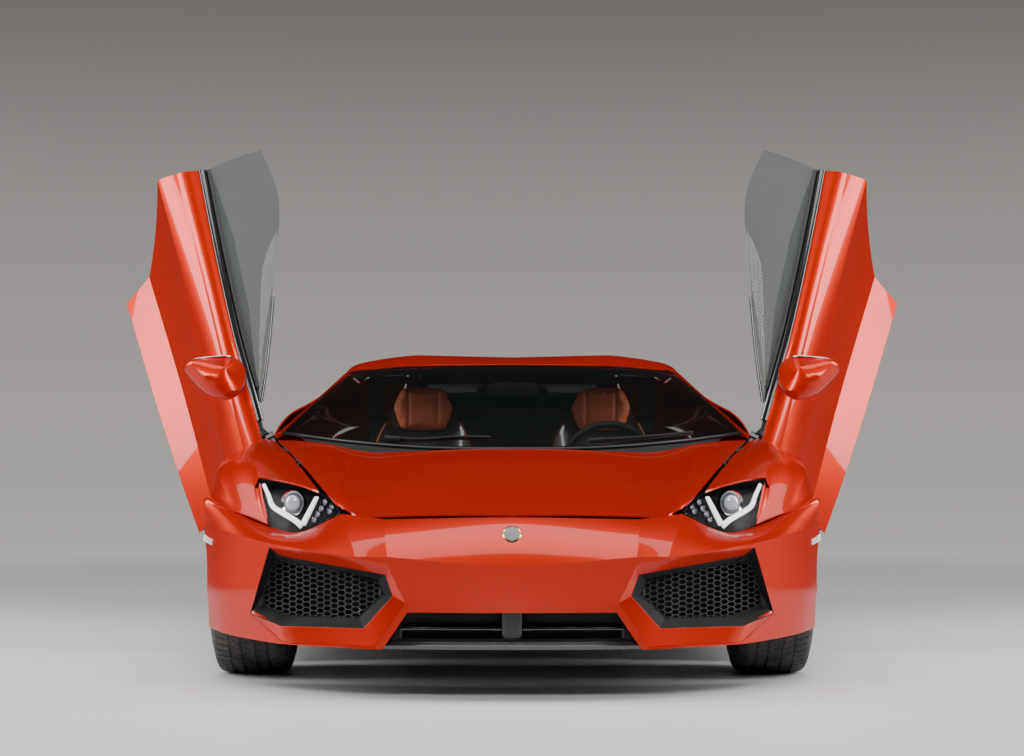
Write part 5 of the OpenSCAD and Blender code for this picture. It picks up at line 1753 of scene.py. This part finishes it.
@dataclass
class Studio:
    """The camera, the floor, the plain surroundings and the soft lamps."""

    eye: Point = (0.0, -9.38, .714)
    lens: float = 83.5
    lift: float = .08
    reach: float = 60.0

    def build(self) -> None:
        """Makes the studio."""
        self._camera()
        self._world()
        self._floor()
        self._lamps()

    def _camera(self) -> None:
        """Adds the camera: level, in front of the car, looking along +Y."""
        made = bpy.data.cameras.new("camera")
        made.lens, made.sensor_width, made.shift_y = self.lens, 36.0, self.lift
        made.dof.use_dof = False
        made.clip_end = 200.0
        camera = bpy.data.objects.new("camera", made)
        camera.location = self.eye
        camera.rotation_euler = (math.radians(90), 0, 0)
        bpy.context.scene.collection.objects.link(camera)
        bpy.context.scene.camera = camera

    @staticmethod
    def _world() -> None:
        """Makes the surroundings: pale at the horizon and greyer overhead."""
        world = bpy.data.worlds.new("studio")
        world.use_nodes = True
        g = Graph(world.node_tree)
        way = g.add("SeparateXYZ", {0: g.add("TexCoord").outputs["Generated"]})
        ramp = g.add("ValToRGB",
            {0: g.add("MapRange", {"Value": way.outputs["Z"], "From Min": -.06, "From Max": .6}).outputs[0]})
        stops = ramp.color_ramp.elements
        stops[0].position, stops[0].color = 0.0, (.66, .64, .63, 1)
        stops[1].position, stops[1].color = 1.0, (.02, .019, .018, 1)
        for place, grey in ((.038, .5), (.09, .43), (.13, .41), (.19, .36), (.256, .3), (.318, .23),
                (.373, .17)):
            stops.new(place).color = (grey, grey * .95, grey * .92, 1)
        seen = g.add("LightPath").outputs["Is Camera Ray"]
        ahead = g.add("MapRange", {"Value": way.outputs["Y"], "From Min": -.3, "From Max": .6, "To Min": .1,
            "To Max": .22}).outputs[0]
        level = g.add("Mix", {0: seen, 2: ahead, 3: 1.0}).outputs[0]
        colour = g.add("VectorMath", {0: ramp.outputs[0], "Scale": level}, operation="SCALE").outputs[0]
        shade = g.add("Background", {"Color": colour, "Strength": 1.0})
        g.add("OutputWorld", {"Surface": shade.outputs[0]})
        bpy.context.scene.world = world

    def _floor(self) -> None:
        """Makes the floor: a wide disc that fades into the surroundings with distance."""
        rings = np.concatenate([[.001], np.geomspace(.5, self.reach, 40)])
        a = disc(96)
        surface = np.array([np.concatenate([a * r, np.zeros((96, 1))], 1) for r in rings])
        form = grid(surface, close_columns=True)
        mesh = bpy.data.meshes.new("floor")
        mesh.from_pydata(form.points.tolist(), [], form.faces)
        made = bpy.data.materials.new("pale_floor")
        made.use_nodes = True
        g = Graph(made.node_tree)
        where = g.add("TexCoord").outputs["Object"]
        away = g.add("VectorMath", {0: where}, operation="LENGTH").outputs["Value"]
        fade = g.add("MapRange", {"Value": away, "From Min": 2.5, "From Max": 9.0}).outputs[0]
        clouds = g.add("TexNoise", {"Vector": where, "Scale": 1.4, "Detail": 5.0}).outputs["Fac"]
        shade = g.add("Mix", {0: clouds, 6: (.7, .7, .71, 1), 7: (.76, .76, .77, 1)},
            data_type="RGBA").outputs[2]
        surface = g.add("BsdfPrincipled", {"Base Color": shade, "Roughness": .42, "Alpha": g.number("SUBTRACT",
            1.0, fade)})
        g.add("OutputMaterial", {"Surface": surface.outputs[0]})
        mesh.materials.append(made)
        floor = bpy.data.objects.new("floor", mesh)
        bpy.context.scene.collection.objects.link(floor)

    @staticmethod
    def _lamps() -> None:
        """Makes four soft lamps: one on each side, one overhead and one high in front."""
        for name, spot, aim, size, watts in (("left_softbox", (6.0, -1.5, 3.2), (.6, -.6, .9), (2.2, 5.0), 480),
                ("right_softbox", (-6.0, -1.5, 3.2), (-.6, -.6, .9), (2.2, 5.0), 480),
                ("overhead", (0.0, -1.9, 6.5), (0, -1.9, 0), (7.0, 4.0), 400), ("front_fill", (0.0, -8.5, 5.2),
                (0, -1.8, .3), (5.0, 1.5), 470)):
            light = bpy.data.lights.new(name, "AREA")
            light.shape, light.size, light.size_y, light.energy = "RECTANGLE", *size, watts
            lamp = bpy.data.objects.new(name, light)
            lamp.location = spot
            lamp.rotation_euler = (Vector(aim) - Vector(spot)).to_track_quat("-Z", "Y").to_euler()
            bpy.context.scene.collection.objects.link(lamp)


def main() -> None:
    """Builds every assembly in order, then the studio round them."""
    corners = [Wheel(f"{end}_{side}", (track, *axle), axle[1], width, rim, f"wheel_{end}_{side}", carrier,
        side == "right") for end, track, axle, width, rim in (("front", .86, FRONT_AXLE, .255, .245),
        ("rear", .84, REAR_AXLE, .33, .258)) for side,
        carrier in (("left", "knuckle_left" if end == "front" else "chassis"),
        ("right", "knuckle_right" if end == "front" else "chassis"))]
    assemblies = [FrontLid(), Nose(), FrontFenders(), Headlamps(), Greenhouse(), RearBody(), Doors(), *corners,
        Seat(), Cabin(), Underbody(), Studio()]
    for assembly in assemblies:
        LOG.info("building %s", type(assembly).__name__)
        assembly.build()


if __name__ == "__main__":
    logging.basicConfig(level=logging.INFO, format="%(name)s: %(message)s")
    main()
